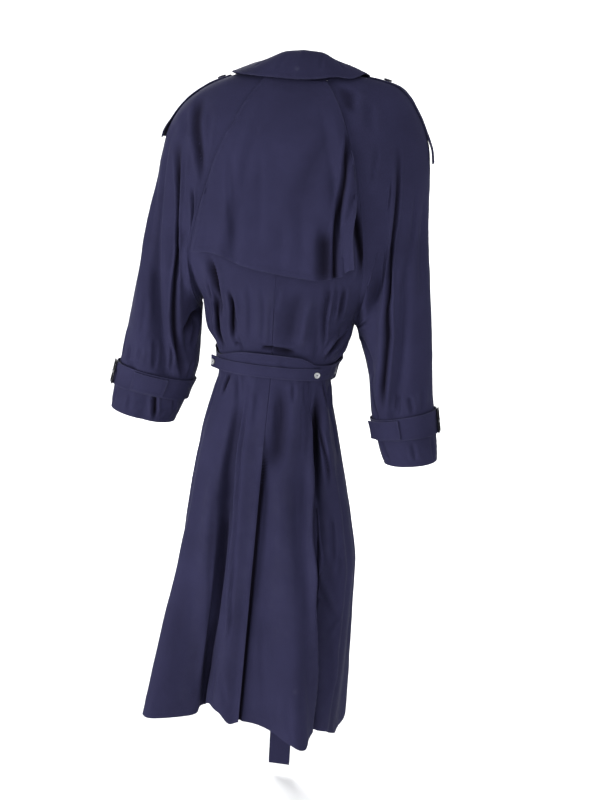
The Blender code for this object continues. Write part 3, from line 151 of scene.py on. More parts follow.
# Half-widths to the wearer's left and right and depths to the back and front of the centre.
# Above the underarm the widths take in the shoulders, down to where the arms part.
BODY = table("height left right back front", [
    (-1.26, 0.191, 0.176, 0.146, 0.148), (-1.07, 0.175, 0.181, 0.132, 0.132),
    (-0.94, 0.158, 0.181, 0.121, 0.121), (-0.85, 0.15, 0.166, 0.113, 0.112),
    (-0.76, 0.142, 0.147, 0.106, 0.104), (-0.67, 0.129, 0.125, 0.099, 0.096),
    (-0.61, 0.116, 0.108, 0.092, 0.089), (-0.575, 0.11, 0.104, 0.088, 0.085),
    (-0.545, 0.111, 0.108, 0.088, 0.085), (-0.522, 0.118, 0.121, 0.093, 0.09),
    (-0.49, 0.136, 0.133, 0.105, 0.1), (-0.463, 0.143, 0.138, 0.112, 0.104),
    (-0.44, 0.148, 0.148, 0.117, 0.107), (-0.4, 0.182, 0.176, 0.121, 0.11),
    (-0.35, 0.217, 0.212, 0.124, 0.112), (-0.3, 0.237, 0.236, 0.126, 0.113),
    (-0.25, 0.245, 0.249, 0.127, 0.113), (-0.2, 0.246, 0.252, 0.125, 0.111),
    (-0.15, 0.241, 0.248, 0.12, 0.106), (-0.115, 0.228, 0.239, 0.114, 0.099),
    (-0.09, 0.213, 0.229, 0.107, 0.091), (-0.063, 0.185, 0.213, 0.097, 0.081),
    (-0.045, 0.156, 0.2, 0.086, 0.072), (-0.03, 0.122, 0.182, 0.074, 0.063),
    (-0.02, 0.098, 0.148, 0.064, 0.055), (-0.012, 0.078, 0.078, 0.054, 0.047),
    (-0.004, 0.066, 0.064, 0.044, 0.039),
])
SQUARE = 0.10             # how much squarer than an ellipse the body's sections are


def body_sizes(z):
    """Half-widths and depths of the body at height z."""
    return [smooth(z, BODY["height"], BODY[name]) for name in ("left", "right", "back", "front")]


def body_base(a, z):
    """Point on the unfolded body. a is 0 at the centre back and grows to the wearer's left."""
    left, right, back, front = body_sizes(z)
    s, c = np.sin(a), np.cos(a)
    x = np.where(s >= 0, left, right) * s * (1 + SQUARE * c * c)
    y = np.where(c >= 0, back, front) * c * (1 + SQUARE * s * s)
    return np.stack(np.broadcast_arrays(x, y, z), axis=-1)


def body_angle(x, z, back=True):
    """Angle at which the body's section at height z reaches the distance x from the centre."""
    left, right, _, _ = body_sizes(z)
    share = np.clip(np.abs(x) / np.where(np.asarray(x) >= 0, left, right), 0.0, 1.0)
    low, high = np.zeros_like(share), np.full_like(share, math.pi / 2)
    for _ in range(30):
        middle = (low + high) / 2
        over = np.sin(middle) * (1 + SQUARE * np.cos(middle) ** 2) > share
        high = np.where(over, middle, high)
        low = np.where(over, low, middle)
    a = np.where(np.asarray(x) >= 0, low, -low)
    return a if back else np.where(a >= 0, math.pi - a, -math.pi - a)


# Folds of the body: where each runs (angles in degrees at its top and its low end), between
# which heights, its half-width, its height over the cloth at top, middle and low end
# (negative for a trough) and how sharp its crest is (2 soft, 1 sharp).
FOLD_COLUMNS = "top_at low_at top low half_top half_low out_top out_mid out_low sharp"
BODY_FOLDS = table(FOLD_COLUMNS, [
    # back skirt, from the wearer's left to right
    (62, 46, -0.62, -1.26, 0.02, 0.042, 0, 0.014, 0.058, 2),
    (24, 29, -0.58, -1.26, 0.012, 0.032, -0.004, -0.02, -0.054, 1.8),
    (14, 9, -0.57, -1.26, 0.01, 0.022, 0.003, 0.009, 0.01, 1.8),
    (-15, -33, -0.62, -1.26, 0.018, 0.036, 0, 0.013, 0.05, 2),
    (-42, -50, -0.6, -1.26, 0.01, 0.018, -0.006, -0.028, -0.04, 1.8),
    (-60, -64, -0.62, -1.26, 0.014, 0.022, 0.004, 0.01, 0.014, 2),
    (-78, -70, -0.66, -1.26, 0.014, 0.026, 0, -0.008, -0.014, 2),
    # gathers above the belt at the back
    (42, 48, -0.4, -0.53, 0.007, 0.006, -0.002, -0.007, -0.004, 1.5),
    (60, 62, -0.42, -0.53, 0.007, 0.006, -0.001, -0.007, -0.005, 1.5),
    (28, 26, -0.44, -0.52, 0.006, 0.005, 0, -0.006, -0.004, 1.5),
    (-30, -38, -0.42, -0.53, 0.008, 0.006, 0, -0.006, -0.005, 1.5),
    (-62, -52, -0.44, -0.53, 0.008, 0.006, 0, -0.007, -0.004, 1.5),
    (-76, -74, -0.45, -0.53, 0.008, 0.006, 0, 0.005, 0.004, 2),
    # front skirt
    (112, 118, -0.62, -1.26, 0.016, 0.034, 0, -0.012, -0.034, 2),
    (140, 142, -0.62, -1.26, 0.018, 0.036, 0, 0.012, 0.03, 2),
    (158, 156, -0.64, -1.26, 0.016, 0.03, 0, -0.004, -0.01, 2),
    (-112, -116, -0.62, -1.26, 0.016, 0.034, 0, 0.012, 0.03, 2),
    (-136, -138, -0.62, -1.26, 0.018, 0.034, 0, -0.012, -0.03, 2),
    (-154, -155, -0.64, -1.26, 0.016, 0.03, 0, 0.005, 0.01, 2),
    # gathers above the belt at the front
    (118, 122, -0.45, -0.53, 0.008, 0.006, 0, -0.006, -0.004, 1.5),
    (146, 142, -0.46, -0.53, 0.008, 0.006, 0, -0.006, -0.004, 1.5),
    (-120, -124, -0.45, -0.53, 0.008, 0.006, 0, -0.006, -0.004, 1.5),
    (-148, -142, -0.46, -0.53, 0.008, 0.006, 0, -0.006, -0.004, 1.5),
])
BELT_GRIP = 0.020         # how far above and below its middle the belt presses folds flat


def body_girth(a, z):
    """Metres of cloth for one radian about the body."""
    left, right, back, front = body_sizes(z)
    return (np.where(np.sin(a) >= 0, left, right) + np.where(np.cos(a) >= 0, back, front)) / 2


def body_fold(a, z):
    """Height of the body's folds over the smooth surface."""
    girth = body_girth(a, z)

    def apart(middle):
        return ((a - np.radians(middle) + math.pi) % (2 * math.pi) - math.pi) * girth

    grip = np.exp(-((z - WAIST) / BELT_GRIP) ** 4)
    return fold_height(BODY_FOLDS, z, apart) * (1 - grip)


def underarm(side):
    """Height of the point where the side seam and the raglan seams meet."""
    return -0.440 if side > 0 else -0.463


def front_lap(a, z):
    """How far the lapped fronts move apart: out for the left front, in for the right one."""
    reach = (math.pi - np.abs(a)) * body_sizes(z)[0]
    return FRONT_STEP * ease((FRONT_LAP + 0.035 - reach) / 0.035)


def vent_lap(a, z):
    """How far the right back panel moves in below the top of the vent."""
    below = ease((VENT_TOP + 0.040 - z) / 0.040)
    return VENT_STEP * below * ease(1.0 - (np.abs(a) * body_sizes(z)[2] - VENT_LAP) / 0.030)


def body(a, z):
    """Point on the folded body."""
    a, z = as_floats(a, z)
    return body_base(a, z) + body_fold(a, z)[..., None] * base_normal(a, z)


def normal_of(surface, u, v, step_u, step_v):
    """Unit normal of a surface, from its slopes along v and u."""
    along_u = surface(u + step_u, v) - surface(u - step_u, v)
    along_v = surface(u, v + step_v) - surface(u, v - step_v)
    return unit(np.cross(along_v, along_u))


def base_normal(a, z):
    """Outward direction of the unfolded body, level with the floor."""
    return unit(normal_of(body_base, a, z, 0.02, 0.004) * (1, 1, 0))


def body_lifted(a, z, out):
    """Point at the distance out from the folded body, outwards."""
    a, z = as_floats(a, z)
    return body(a, z) + np.asarray(out)[..., None] * normal_of(body, a, z, 0.015, 0.003)


def body_lifted_base(a, z, out):
    """Point at the distance out from the unfolded body, level with the floor."""
    a, z = as_floats(a, z)
    return body_base(a, z) + np.asarray(out)[..., None] * base_normal(a, z)


# Distance of each raglan seam from the centre, from the underarm up to the neck seam and on
# along the neck edge of the sleeve to the top of the shoulder.
SEAMS = {
    ("left", "back"): table("height x", [
        (-0.44, 0.148), (-0.43, 0.1495), (-0.415, 0.1545), (-0.4, 0.16), (-0.35, 0.165), (-0.3, 0.158),
        (-0.25, 0.147), (-0.185, 0.129), (-0.14, 0.112), (-0.08, 0.084), (-0.05, 0.066), (-0.03, 0.055),
        (-0.021, 0.065), (-0.012, 0.078),
    ]),
    ("right", "back"): table("height x", [
        (-0.463, 0.138), (-0.453, 0.1385), (-0.44, 0.142), (-0.42, 0.147), (-0.35, 0.15), (-0.3, 0.146),
        (-0.25, 0.138), (-0.185, 0.124), (-0.14, 0.11), (-0.08, 0.086), (-0.05, 0.068), (-0.03, 0.055),
        (-0.021, 0.065), (-0.012, 0.078),
    ]),
    ("left", "front"): table("height x", [
        (-0.44, 0.148), (-0.43, 0.1493), (-0.415, 0.1535), (-0.4, 0.157), (-0.35, 0.155),
        (-0.25, 0.135), (-0.15, 0.108), (-0.08, 0.086), (-0.05, 0.074), (-0.03, 0.07), (-0.012, 0.078),
    ]),
    ("right", "front"): table("height x", [
        (-0.463, 0.138), (-0.453, 0.1385), (-0.44, 0.142), (-0.42, 0.146), (-0.35, 0.146),
        (-0.25, 0.132), (-0.15, 0.107), (-0.08, 0.086), (-0.05, 0.074), (-0.03, 0.07), (-0.012, 0.078),
    ]),
}


def sign(side):
    return 1.0 if side == "left" else -1.0


def seam_x(side, half, z):
    """Signed distance of a raglan seam from the centre at height z."""
    seam = SEAMS[side, half]
    return sign(side) * smooth(z, seam["height"], seam["x"])


# One row for each ring of a sleeve, from the neck to the cuff: its top point over the
# shoulder and down the outer arm, its low point from the underarm down the inner arm, and
# its depths to the back and the front. The rings of the shoulder lie on the body's girths.
SLEEVES = {
    "left": table("top_x top_z low_x low_z back front", [
        (0.078, -0.012, 0.148, -0.44, 0.1, 0.09), (0.125, -0.03, 0.1492, -0.441, 0.1, 0.09),
        (0.19, -0.063, 0.1504, -0.4421, 0.1, 0.09), (0.228, -0.115, 0.1517, -0.4434, 0.098, 0.09),
        (0.245, -0.185, 0.1531, -0.4453, 0.094, 0.088), (0.253, -0.25, 0.1546, -0.449, 0.086, 0.08),
        (0.262, -0.31, 0.1557, -0.457, 0.079, 0.074), (0.27, -0.365, 0.1555, -0.472, 0.073, 0.069),
        (0.278, -0.415, 0.1535, -0.495, 0.069, 0.066), (0.285, -0.465, 0.1515, -0.522, 0.067, 0.065),
        (0.292, -0.515, 0.151, -0.553, 0.066, 0.064), (0.299, -0.558, 0.155, -0.584, 0.064, 0.062),
        (0.305, -0.59, 0.162, -0.611, 0.06, 0.058), (0.31, -0.618, 0.1715, -0.636, 0.058, 0.056),
        (0.312, -0.644, 0.1815, -0.661, 0.059, 0.057), (0.313, -0.664, 0.191, -0.684, 0.06, 0.058),
    ]),
    "right": table("top_x top_z low_x low_z back front", [
        (0.078, -0.012, 0.138, -0.463, 0.1, 0.09), (0.145, -0.0205, 0.1391, -0.464, 0.1, 0.09),
        (0.198, -0.045, 0.1403, -0.4651, 0.1, 0.09), (0.229, -0.085, 0.1416, -0.4664, 0.1, 0.09),
        (0.244, -0.132, 0.143, -0.4681, 0.1, 0.09), (0.252, -0.2, 0.1445, -0.4707, 0.096, 0.088),
        (0.256, -0.265, 0.1465, -0.4765, 0.087, 0.08), (0.263, -0.325, 0.15, -0.487, 0.079, 0.074),
        (0.271, -0.385, 0.157, -0.506, 0.073, 0.069), (0.279, -0.44, 0.167, -0.533, 0.07, 0.067),
        (0.286, -0.495, 0.175, -0.563, 0.067, 0.065), (0.292, -0.545, 0.18, -0.593, 0.064, 0.062),
        (0.298, -0.583, 0.184, -0.618, 0.06, 0.058), (0.304, -0.616, 0.1905, -0.643, 0.058, 0.056),
        (0.31, -0.647, 0.199, -0.67, 0.058, 0.056), (0.315, -0.676, 0.209, -0.696, 0.059, 0.057),
        (0.318, -0.703, 0.219, -0.718, 0.06, 0.058),
    ]),
}
# Rings between which a sleeve's section passes from the shoulder's shape to the arm's.
ARM_BEGINS = {"left": (3.0, 6.0), "right": (4.0, 7.0)}
SEAM_FADE = 3.5           # ring by which the raglan seam's curve has faded out
# Ring in the middle of each cuff strap, and half of the strap's width in rings.
CUFF_STRAP = {"left": (12.25, 0.74), "right": (13.40, 0.70)}
# Folds of the sleeves: turn is 0 at the underarm seam and 1 at the top seam, positive on
# the back and negative on the front. The other columns are as for the body's folds.
SLEEVE_FOLDS = {
    "left": table(FOLD_COLUMNS, [
        (0.8, 0.34, 3.2, 12, 0.013, 0.013, -0.002, -0.018, -0.006, 1.8),
        (0.93, 0.56, 3.4, 11.8, 0.02, 0.024, 0, 0.007, 0.003, 2),
        (0.36, 0.4, 0.6, 3.6, 0.012, 0.01, 0, -0.005, 0, 2),
        (0.12, 0.26, 6.2, 11, 0.014, 0.016, 0, -0.011, 0, 2),
        (0.7, 0.66, 10, 12.2, 0.011, 0.01, 0, -0.006, -0.005, 2),
        (0.46, 0.44, 12.4, 15.5, 0.012, 0.012, -0.004, -0.005, -0.003, 2),
        (-0.6, -0.45, 4, 11.8, 0.014, 0.013, 0, -0.012, -0.005, 1.9),
        (-0.82, -0.74, 5, 11.6, 0.018, 0.02, 0, 0.006, 0.002, 2),
        (-0.24, -0.3, 6.4, 10.6, 0.012, 0.012, 0, -0.009, 0, 1.6),
    ]),
    "right": table(FOLD_COLUMNS, [
        (0.74, 0.4, 4, 13, 0.016, 0.012, 0, -0.011, -0.006, 1.7),
        (0.52, 0.24, 4.6, 12.6, 0.018, 0.02, 0, 0.008, 0.002, 2),
        (0.9, 0.88, 5, 12, 0.022, 0.022, 0, 0.004, 0, 2),
        (0.1, 0.2, 6.6, 10, 0.012, 0.012, 0, -0.008, 0, 1.6),
        (0.22, 0.2, 10.4, 13.2, 0.012, 0.011, 0, -0.006, -0.005, 2),
        (-0.58, -0.44, 4.6, 12.6, 0.014, 0.013, 0, -0.012, -0.005, 1.9),
        (-0.8, -0.72, 5.6, 12.4, 0.018, 0.02, 0, 0.006, 0.002, 2),
        (-0.26, -0.3, 7, 11.4, 0.012, 0.012, 0, -0.009, 0, 1.6),
    ]),
}


def sleeve_rows(side, ring):
    """The sleeve's table read at any ring number, also between two rings."""
    sizes = SLEEVES[side]
    numbers = np.arange(len(sizes["top_x"]))
    return [smooth(ring, numbers, sizes[name])
            for name in ("top_x", "top_z", "low_x", "low_z", "back", "front")]


def last_ring(side):
    return len(SLEEVES[side]["top_x"]) - 1.0


def half_girth(side, ring):
    """Metres of cloth from the underarm to the top of the sleeve, at a ring."""
    top_x, top_z, low_x, low_z, deep_back, _ = sleeve_rows(side, ring)
    return math.pi / 2 * (np.hypot(top_x - low_x, top_z - low_z) / 2 + deep_back)


def cuff_grip(side, ring):
    """Share of a sleeve's folds that the cuff strap presses flat."""
    middle, half_width = CUFF_STRAP[side]
    return np.exp(-((ring - middle) / (half_width * 1.05)) ** 6)


def sleeve_base(side, turn, ring):
    """Point on the unfolded sleeve. turn is 0 at the underarm and 1 or -1 at the top."""
    turn, ring = as_floats(turn, ring)
    turn = (turn + 1.0) % 2.0 - 1.0
    back = turn >= 0
    u = np.abs(turn)
    top_x, top_z, low_x, low_z, deep_back, deep_front = sleeve_rows(side, ring)
    begin, end = ARM_BEGINS[side]
    arm = ease((ring - begin) / (end - begin))
    wide = body_sizes(top_z)[0 if side == "left" else 1]
    top_x = np.where(ring < begin, wide, top_x)
    rise = (1 - np.cos(math.pi * u)) / 2
    first = [values[0] for values in SLEEVES[side].values()]
    seam_z = first[3] + (first[1] - first[3]) * rise
    straight = first[2] + (first[0] - first[2]) * rise
    seam = np.where(back, np.abs(seam_x(side, "back", seam_z)),
                    np.abs(seam_x(side, "front", seam_z)))
    x = low_x + (top_x - low_x) * rise + (seam - straight) * ease(1 - ring / SEAM_FADE)
    z = low_z + (top_z - low_z) * rise

    def body_y(x, z):
        y = body_base(body_angle(sign(side) * x, z), z)[..., 1]
        _, _, deep, shallow = body_sizes(z)
        return np.where(back, y, -y * shallow / deep)

    upper = ease((rise - 0.10) / 0.25)
    y_shoulder = body_y(x, z) * upper + body_y(seam, seam_z) * (1 - upper)
    round_arm = np.sin(math.pi * u) * (1 + SQUARE * np.cos(math.pi * u) ** 2)
    y_arm = np.where(back, deep_back, -deep_front) * round_arm
    y = y_shoulder * (1 - arm) + y_arm * arm
    return np.stack([sign(side) * x, y, z], axis=-1)


def sleeve_fold(side, turn, ring):
    """Height of a sleeve's folds over the smooth surface."""
    around = half_girth(side, ring)

    def apart(middle):
        return ((turn - middle + 1.0) % 2.0 - 1.0) * around

    folds = fold_height(SLEEVE_FOLDS[side], ring, apart)
    return folds * (1 - cuff_grip(side, ring)) * ease(ring)


def sleeve(side, turn, ring):
    """Point on the folded sleeve."""
    ring = np.clip(ring, 0.0, last_ring(side))
    return sleeve_lifted(side, turn, ring, sleeve_fold(side, turn, ring), folded=False)


def sleeve_lifted(side, turn, ring, out, folded=True):
    """Point at the distance out from a sleeve, outwards."""
    turn, ring = as_floats(turn, ring)
    shape = sleeve if folded else sleeve_base

    def surface(t, r):
        return shape(side, t, np.clip(r, 0.0, last_ring(side)))

    normal = -sign(side) * normal_of(surface, turn, ring, 0.012, 0.06)
    return surface(turn, ring) + np.asarray(out)[..., None] * normal


ROLL_TOP = 0.050          # where the roll line of a lapel meets the neck seam, from the centre
# Height of the hem at each angle, in degrees: it drops where the skirt flares and rises in
# the deep folds.
HEM_LINE = table("at height", [
    (-180, -1.226), (-130, -1.238), (-90, -1.236), (-66, -1.244), (-55, -1.24), (-46, -1.253),
    (-38, -1.26), (-28, -1.238), (-18, -1.224), (-8, -1.216), (0, -1.214), (4, -1.22), (11, -1.201),
    (18, -1.198), (25, -1.21), (33, -1.229), (54, -1.233), (70, -1.23), (90, -1.228), (130, -1.238),
    (180, -1.226),
])


def hem_height(a):
    """Height of the hem at the angle a."""
    return smooth(np.degrees(a), HEM_LINE["at"], HEM_LINE["height"])


def row_height(z, a):
    """Height of a skirt row at the angle a: the lowest follows the hem."""
    low = ease((-0.95 - z) / (-0.95 - HEM))
    return z + (hem_height(a) - HEM) * low


def roll_x(side, z):
    """Signed distance from the centre of a front's free edge: the roll line above the break."""
    t = np.clip((z - BREAK) / (NECK_FRONT - BREAK), 0.0, 1.0)
    return sign(side) * (-FRONT_LAP + (ROLL_TOP + FRONT_LAP) * t)


def outer_angle(side, half, z):
    """Angle of a panel's outer edge: the side seam, and the raglan seam above the underarm."""
    if z <= underarm(sign(side)) + 1e-6:
        a = sign(side) * math.pi / 2
    else:
        a = float(body_angle(seam_x(side, half, z), z, back=half == "back"))
    return a - (0.5 * SEAM / 0.12) * sign(side) * (1 if half == "back" else -1)


def full_angle(side, half, z):
    """Angle that a row's columns would spread to if the seam did not turn in so quickly."""
    end = outer_angle(side, half, z)
    rise = max(z - underarm(sign(side)), 0.0)
    return end + (sign(side) * math.pi / 2 - end) * math.exp(-(rise / 0.05) ** 2)


def on_front(side, x, z, out):
    """Point at the distance out from a front panel, at the distance x from the centre."""
    a = body_angle(x, z, back=False)
    return body_lifted(a, z, out + sign(side) * front_lap(a, z))


# Along the flap's hem, from the wearer's left (0) to the right (1): its height, and how far
# it stands off the back.
FLAP_HEM = table("share height off", [
    (0, -0.35, 0.007), (0.12, -0.352, 0.01), (0.26, -0.362, 0.013), (0.45, -0.375, 0.013),
    (0.7, -0.381, 0.012), (0.86, -0.373, 0.012), (0.93, -0.358, 0.016), (1, -0.354, 0.017),
])
FLAP_FOLDS = table(FOLD_COLUMNS, [
    (0.16, 0.24, 0.1, 1, 0.045, 0.035, 0, 0.003, 0.006, 2),
    (0.24, 0.32, 0.15, 1, 0.035, 0.03, 0, -0.002, -0.004, 2),
    (0.8, 0.88, 0.1, 1, 0.034, 0.03, 0, -0.004, -0.007, 2),
    (0.9, 0.97, 0.1, 1, 0.045, 0.04, 0, 0.004, 0.006, 2),
])
FLAP_TOP = -0.036
FLAP_REST = 0.0022        # the flap above the back panels where it lies on them
FLAP_INSET = 0.0015       # the flap's sides lie this far inside the raglan seams


def flap_point(share, down):
    """Point of the flap's outer side. share runs from left to right, down from top to hem."""
    share, down = np.broadcast_arrays(share, down)
    hem = smooth(share, FLAP_HEM["share"], FLAP_HEM["height"])
    z = FLAP_TOP + (hem - FLAP_TOP) * down
    left = body_angle(seam_x("left", "back", z) - FLAP_INSET, z)
    right = body_angle(seam_x("right", "back", z) + FLAP_INSET, z)
    off = smooth(share, FLAP_HEM["share"], FLAP_HEM["off"]) * down ** 1.6
    off = off + fold_height(FLAP_FOLDS, down, lambda middle: share - middle)
    edge = np.minimum(share, 1 - share)
    off = np.maximum(off, 0.0) * (0.25 + 0.75 * ease(edge / 0.05 + down ** 3))
    return body_lifted(left + (right - left) * share, z, off + FLAP_REST + WALL)


# Half of the collar, from the centre back to its point at the front: the roll line over
# which the collar turns down, and the collar's outer edge on the body to each side.
COLLAR = table("turn roll_x roll_y roll_z edge_x left_z right_z", [
    (0, 0, 0.047, 0.0205, 0, -0.047, -0.047), (30, 0.033, 0.042, 0.0175, 0.05, -0.045, -0.045),
    (60, 0.054, 0.025, 0.008, 0.092, -0.038, -0.038),
    (90, 0.071, -0.006, 0.001, 0.121, -0.032, -0.0165),
    (115, 0.074, -0.042, -0.011, 0.124, -0.056, -0.056),
    (140, 0.066, -0.068, -0.028, 0.116, -0.094, -0.094),
    (160, 0.054, -0.079, -0.039, 0.106, -0.132, -0.132),
])
COLLAR_OUT = 0.0072       # the collar's outer edge above the body
COLLAR_LEAN = 0.006       # how far the roll line leans to the wearer's right
COLLAR_TILT = 0.045       # how much it drops towards the wearer's left
COLLAR_CROWN = (0.40, 0.12)    # where the turned collar bends: share of its reach and its drop
STAND_IN = 0.0028         # the collar stand inside the neck seam
COLLAR_END = 160.0


def collar_row(turn, name):
    return smooth(np.abs(turn), COLLAR["turn"], COLLAR[name])


def neck_point(turn):
    """Point of the neck seam at a turn in degrees: across the back panels, along the edges of
    the sleeve's halves to the top of the shoulder and down again, and across the front."""
    side = "left" if turn >= 0 else "right"
    t = abs(turn)
    if t < 60:
        x, z = seam_x(side, "back", NECK_BACK) * t / 60, NECK_BACK
    elif t < 90:
        z = NECK_SIDE + (NECK_BACK - NECK_SIDE) * ((90 - t) / 30) ** 2
        x = seam_x(side, "back", z)
    elif t < 140:
        z = NECK_SIDE + (NECK_FRONT - NECK_SIDE) * ((t - 90) / 50) ** 2
        x = seam_x(side, "front", z)
    else:
        z = NECK_FRONT
        x = seam_x(side, "front", z) + sign(side) * (t - 140) / 20 * (ROLL_TOP - 0.072)
    a = body_angle(x, z, back=t < 90)
    return body_base(a, z) - STAND_IN * base_normal(a, z)


def collar_frame(turn):
    """Neck seam point, roll point and edge point of the collar at each turn, in degrees."""
    side = np.where(turn >= 0, 1.0, -1.0)
    edge_x = collar_row(turn, "edge_x") * side
    edge_z = np.where(side > 0, collar_row(turn, "left_z"), collar_row(turn, "right_z"))
    edge = []
    for i in range(len(turn)):
        a = body_angle(edge_x[i], edge_z[i], back=bool(abs(turn[i]) < 89))
        edge.append(body_lifted(a, edge_z[i], COLLAR_OUT))
    x = collar_row(turn, "roll_x") * side
    lean = COLLAR_LEAN * ease((turn + 110) / 50)
    roll = np.stack([x - lean, collar_row(turn, "roll_y"),
                     collar_row(turn, "roll_z") - COLLAR_TILT * x], axis=-1)
    return np.array([neck_point(t) for t in turn]), roll, np.array(edge)


LAPEL_TIP = (0.122, -0.160)
LAPEL_CROSS = 0.004       # space beside the left front's roll line, which covers the rest
LAPEL_ENDS = {"left": 0.10, "right": 0.50}
BELT_OFF = 0.0013         # the belt above the cloth that it presses on
BELT_GAP = 0.008          # how far its upper edge stands off at the back
STRAP_WIDTH = 0.022
STRAP_LOW = -0.011        # middle of the waist strap below the middle of the belt
STRAP_ENDS = (76.0, -48.0)    # angles of the waist strap's two ends
STRAP_BUTTONS = (68.5, -43.5)
BELT_HALF = BELT_WIDTH / 2


def belt_point(a, share, out=0.0):
    """Point of the belt's outer side. share is -1 at its lower edge and 1 at its upper one."""
    z = WAIST + 0.001 + BELT_HALF * share + 0 * a
    off = BELT_OFF + DOUBLE + FRONT_STEP
    stand = BELT_GAP * np.exp(-((a + 0.12) / 0.45) ** 2) * ease((share + 1) / 2)
    return body_lifted_base(a, z, off + stand + out)


def strap_stand(a):
    """How far the waist strap stands off the belt, which is most at its ends."""
    left, right = np.degrees(a) - STRAP_ENDS[0], np.degrees(a) - STRAP_ENDS[1]
    return REST + DOUBLE + 0.007 * np.exp(-(left / 9.0) ** 2) + 0.002 * np.exp(-(right / 6.5) ** 2)


LOOP_HALF = 0.036         # half of a belt loop's height
# The belt's long end, which hangs over the belt at the front: height, sideways place and
# distance in front of the body.
TAIL = table("height x off", [
    (-0.516, 0.004, 0.0056), (-0.58, 0.003, 0.0061), (-0.64, 0, 0.012), (-0.8, -0.01, 0.02),
    (-1, -0.026, 0.024), (-1.222, -0.044, 0.024), (-1.33, -0.051, 0.02), (-1.436, -0.056, 0.012),
])
EPAULETTE = {"left": (1.10, 3.52), "right": (0.72, 4.38)}    # rings of its two ends
EPAULETTE_HALF = (0.020, 0.026)    # half-widths at its two ends
EPAULETTE_LIFT = 0.005             # how far its outer end stands off


def epaulette_point(side, share, along, out=0.0):
    """Point of an epaulette's outer side. share is -1 to 1 across it, along 0 to 1 outwards."""
    start, end = EPAULETTE[side]
    ring = start + (end - start) * along
    half = EPAULETTE_HALF[0] + (EPAULETTE_HALF[1] - EPAULETTE_HALF[0]) * along
    turn = 1.0 + share * half / half_girth(side, ring)
    stand = REST + DOUBLE + EPAULETTE_LIFT * ease((along - 0.55) / 0.45) ** 2
    return sleeve_lifted(side, turn, ring, stand + out, folded=False)


STRAP_OFF = 0.0010        # a cuff strap above the sleeve


def cuff_strap_point(side, turn, share, out=0.0):
    """Point of a cuff strap's outer side. share is -1 at its upper edge and 1 at its lower."""
    middle, half = CUFF_STRAP[side]
    ring = middle + half * share
    flare = 0.002 * share * share
    return sleeve_lifted(side, turn, ring, STRAP_OFF + DOUBLE + flare + out, folded=False)


# Where each strap's free end starts and stops (turns of the sleeve, in the direction from the
# buckle), and how far its tip runs on straight past the sleeve.
STRAP_FREE = {"left": (0.34, 0.62, 0.0), "right": (0.46, 0.20, 0.022)}
BUCKLE_TURN = {"left": 0.90, "right": 0.97}
LIGHT_BUTTON = (0.0058, 0.0028)    # radius and thickness
FRONT_BUTTON = (0.0125, 0.0042)
# Rows of front buttons, with the lift that each button needs over the panel's faces.
FRONT_BUTTONS = table("height x left right", [
    (-0.462, 0.056, 0, 0), (-0.655, 0.056, 0, 0), (-0.8, 0.056, 0.0007, 0)])


def axes_on(surface, u, v, step_u, step_v):
    """Point of a surface with unit directions along u, along v and across both."""
    along_u = unit(surface(u + step_u, v) - surface(u - step_u, v))
    across = unit(np.cross(along_u, surface(u, v + step_v) - surface(u, v - step_v)))
    return surface(u, v), along_u, np.cross(across, along_u), across


BELT_BUCKLE = (0.024, 0.031, 0.0070, 0.0032)    # half-width, half-height, bar, thickness
CUFF_BUCKLE = (0.014, 0.023, 0.0050, 0.0026)
BUCKLE_AT = -0.050        # middle of the belt's buckle from the centre, to the wearer's right
EPAULETTE_BUTTON = (0.0085, 0.0032)


def facing(out, outwards):
    """The direction, turned round if it does not point outwards."""
    return out if np.dot(out, outwards) > 0 else -out


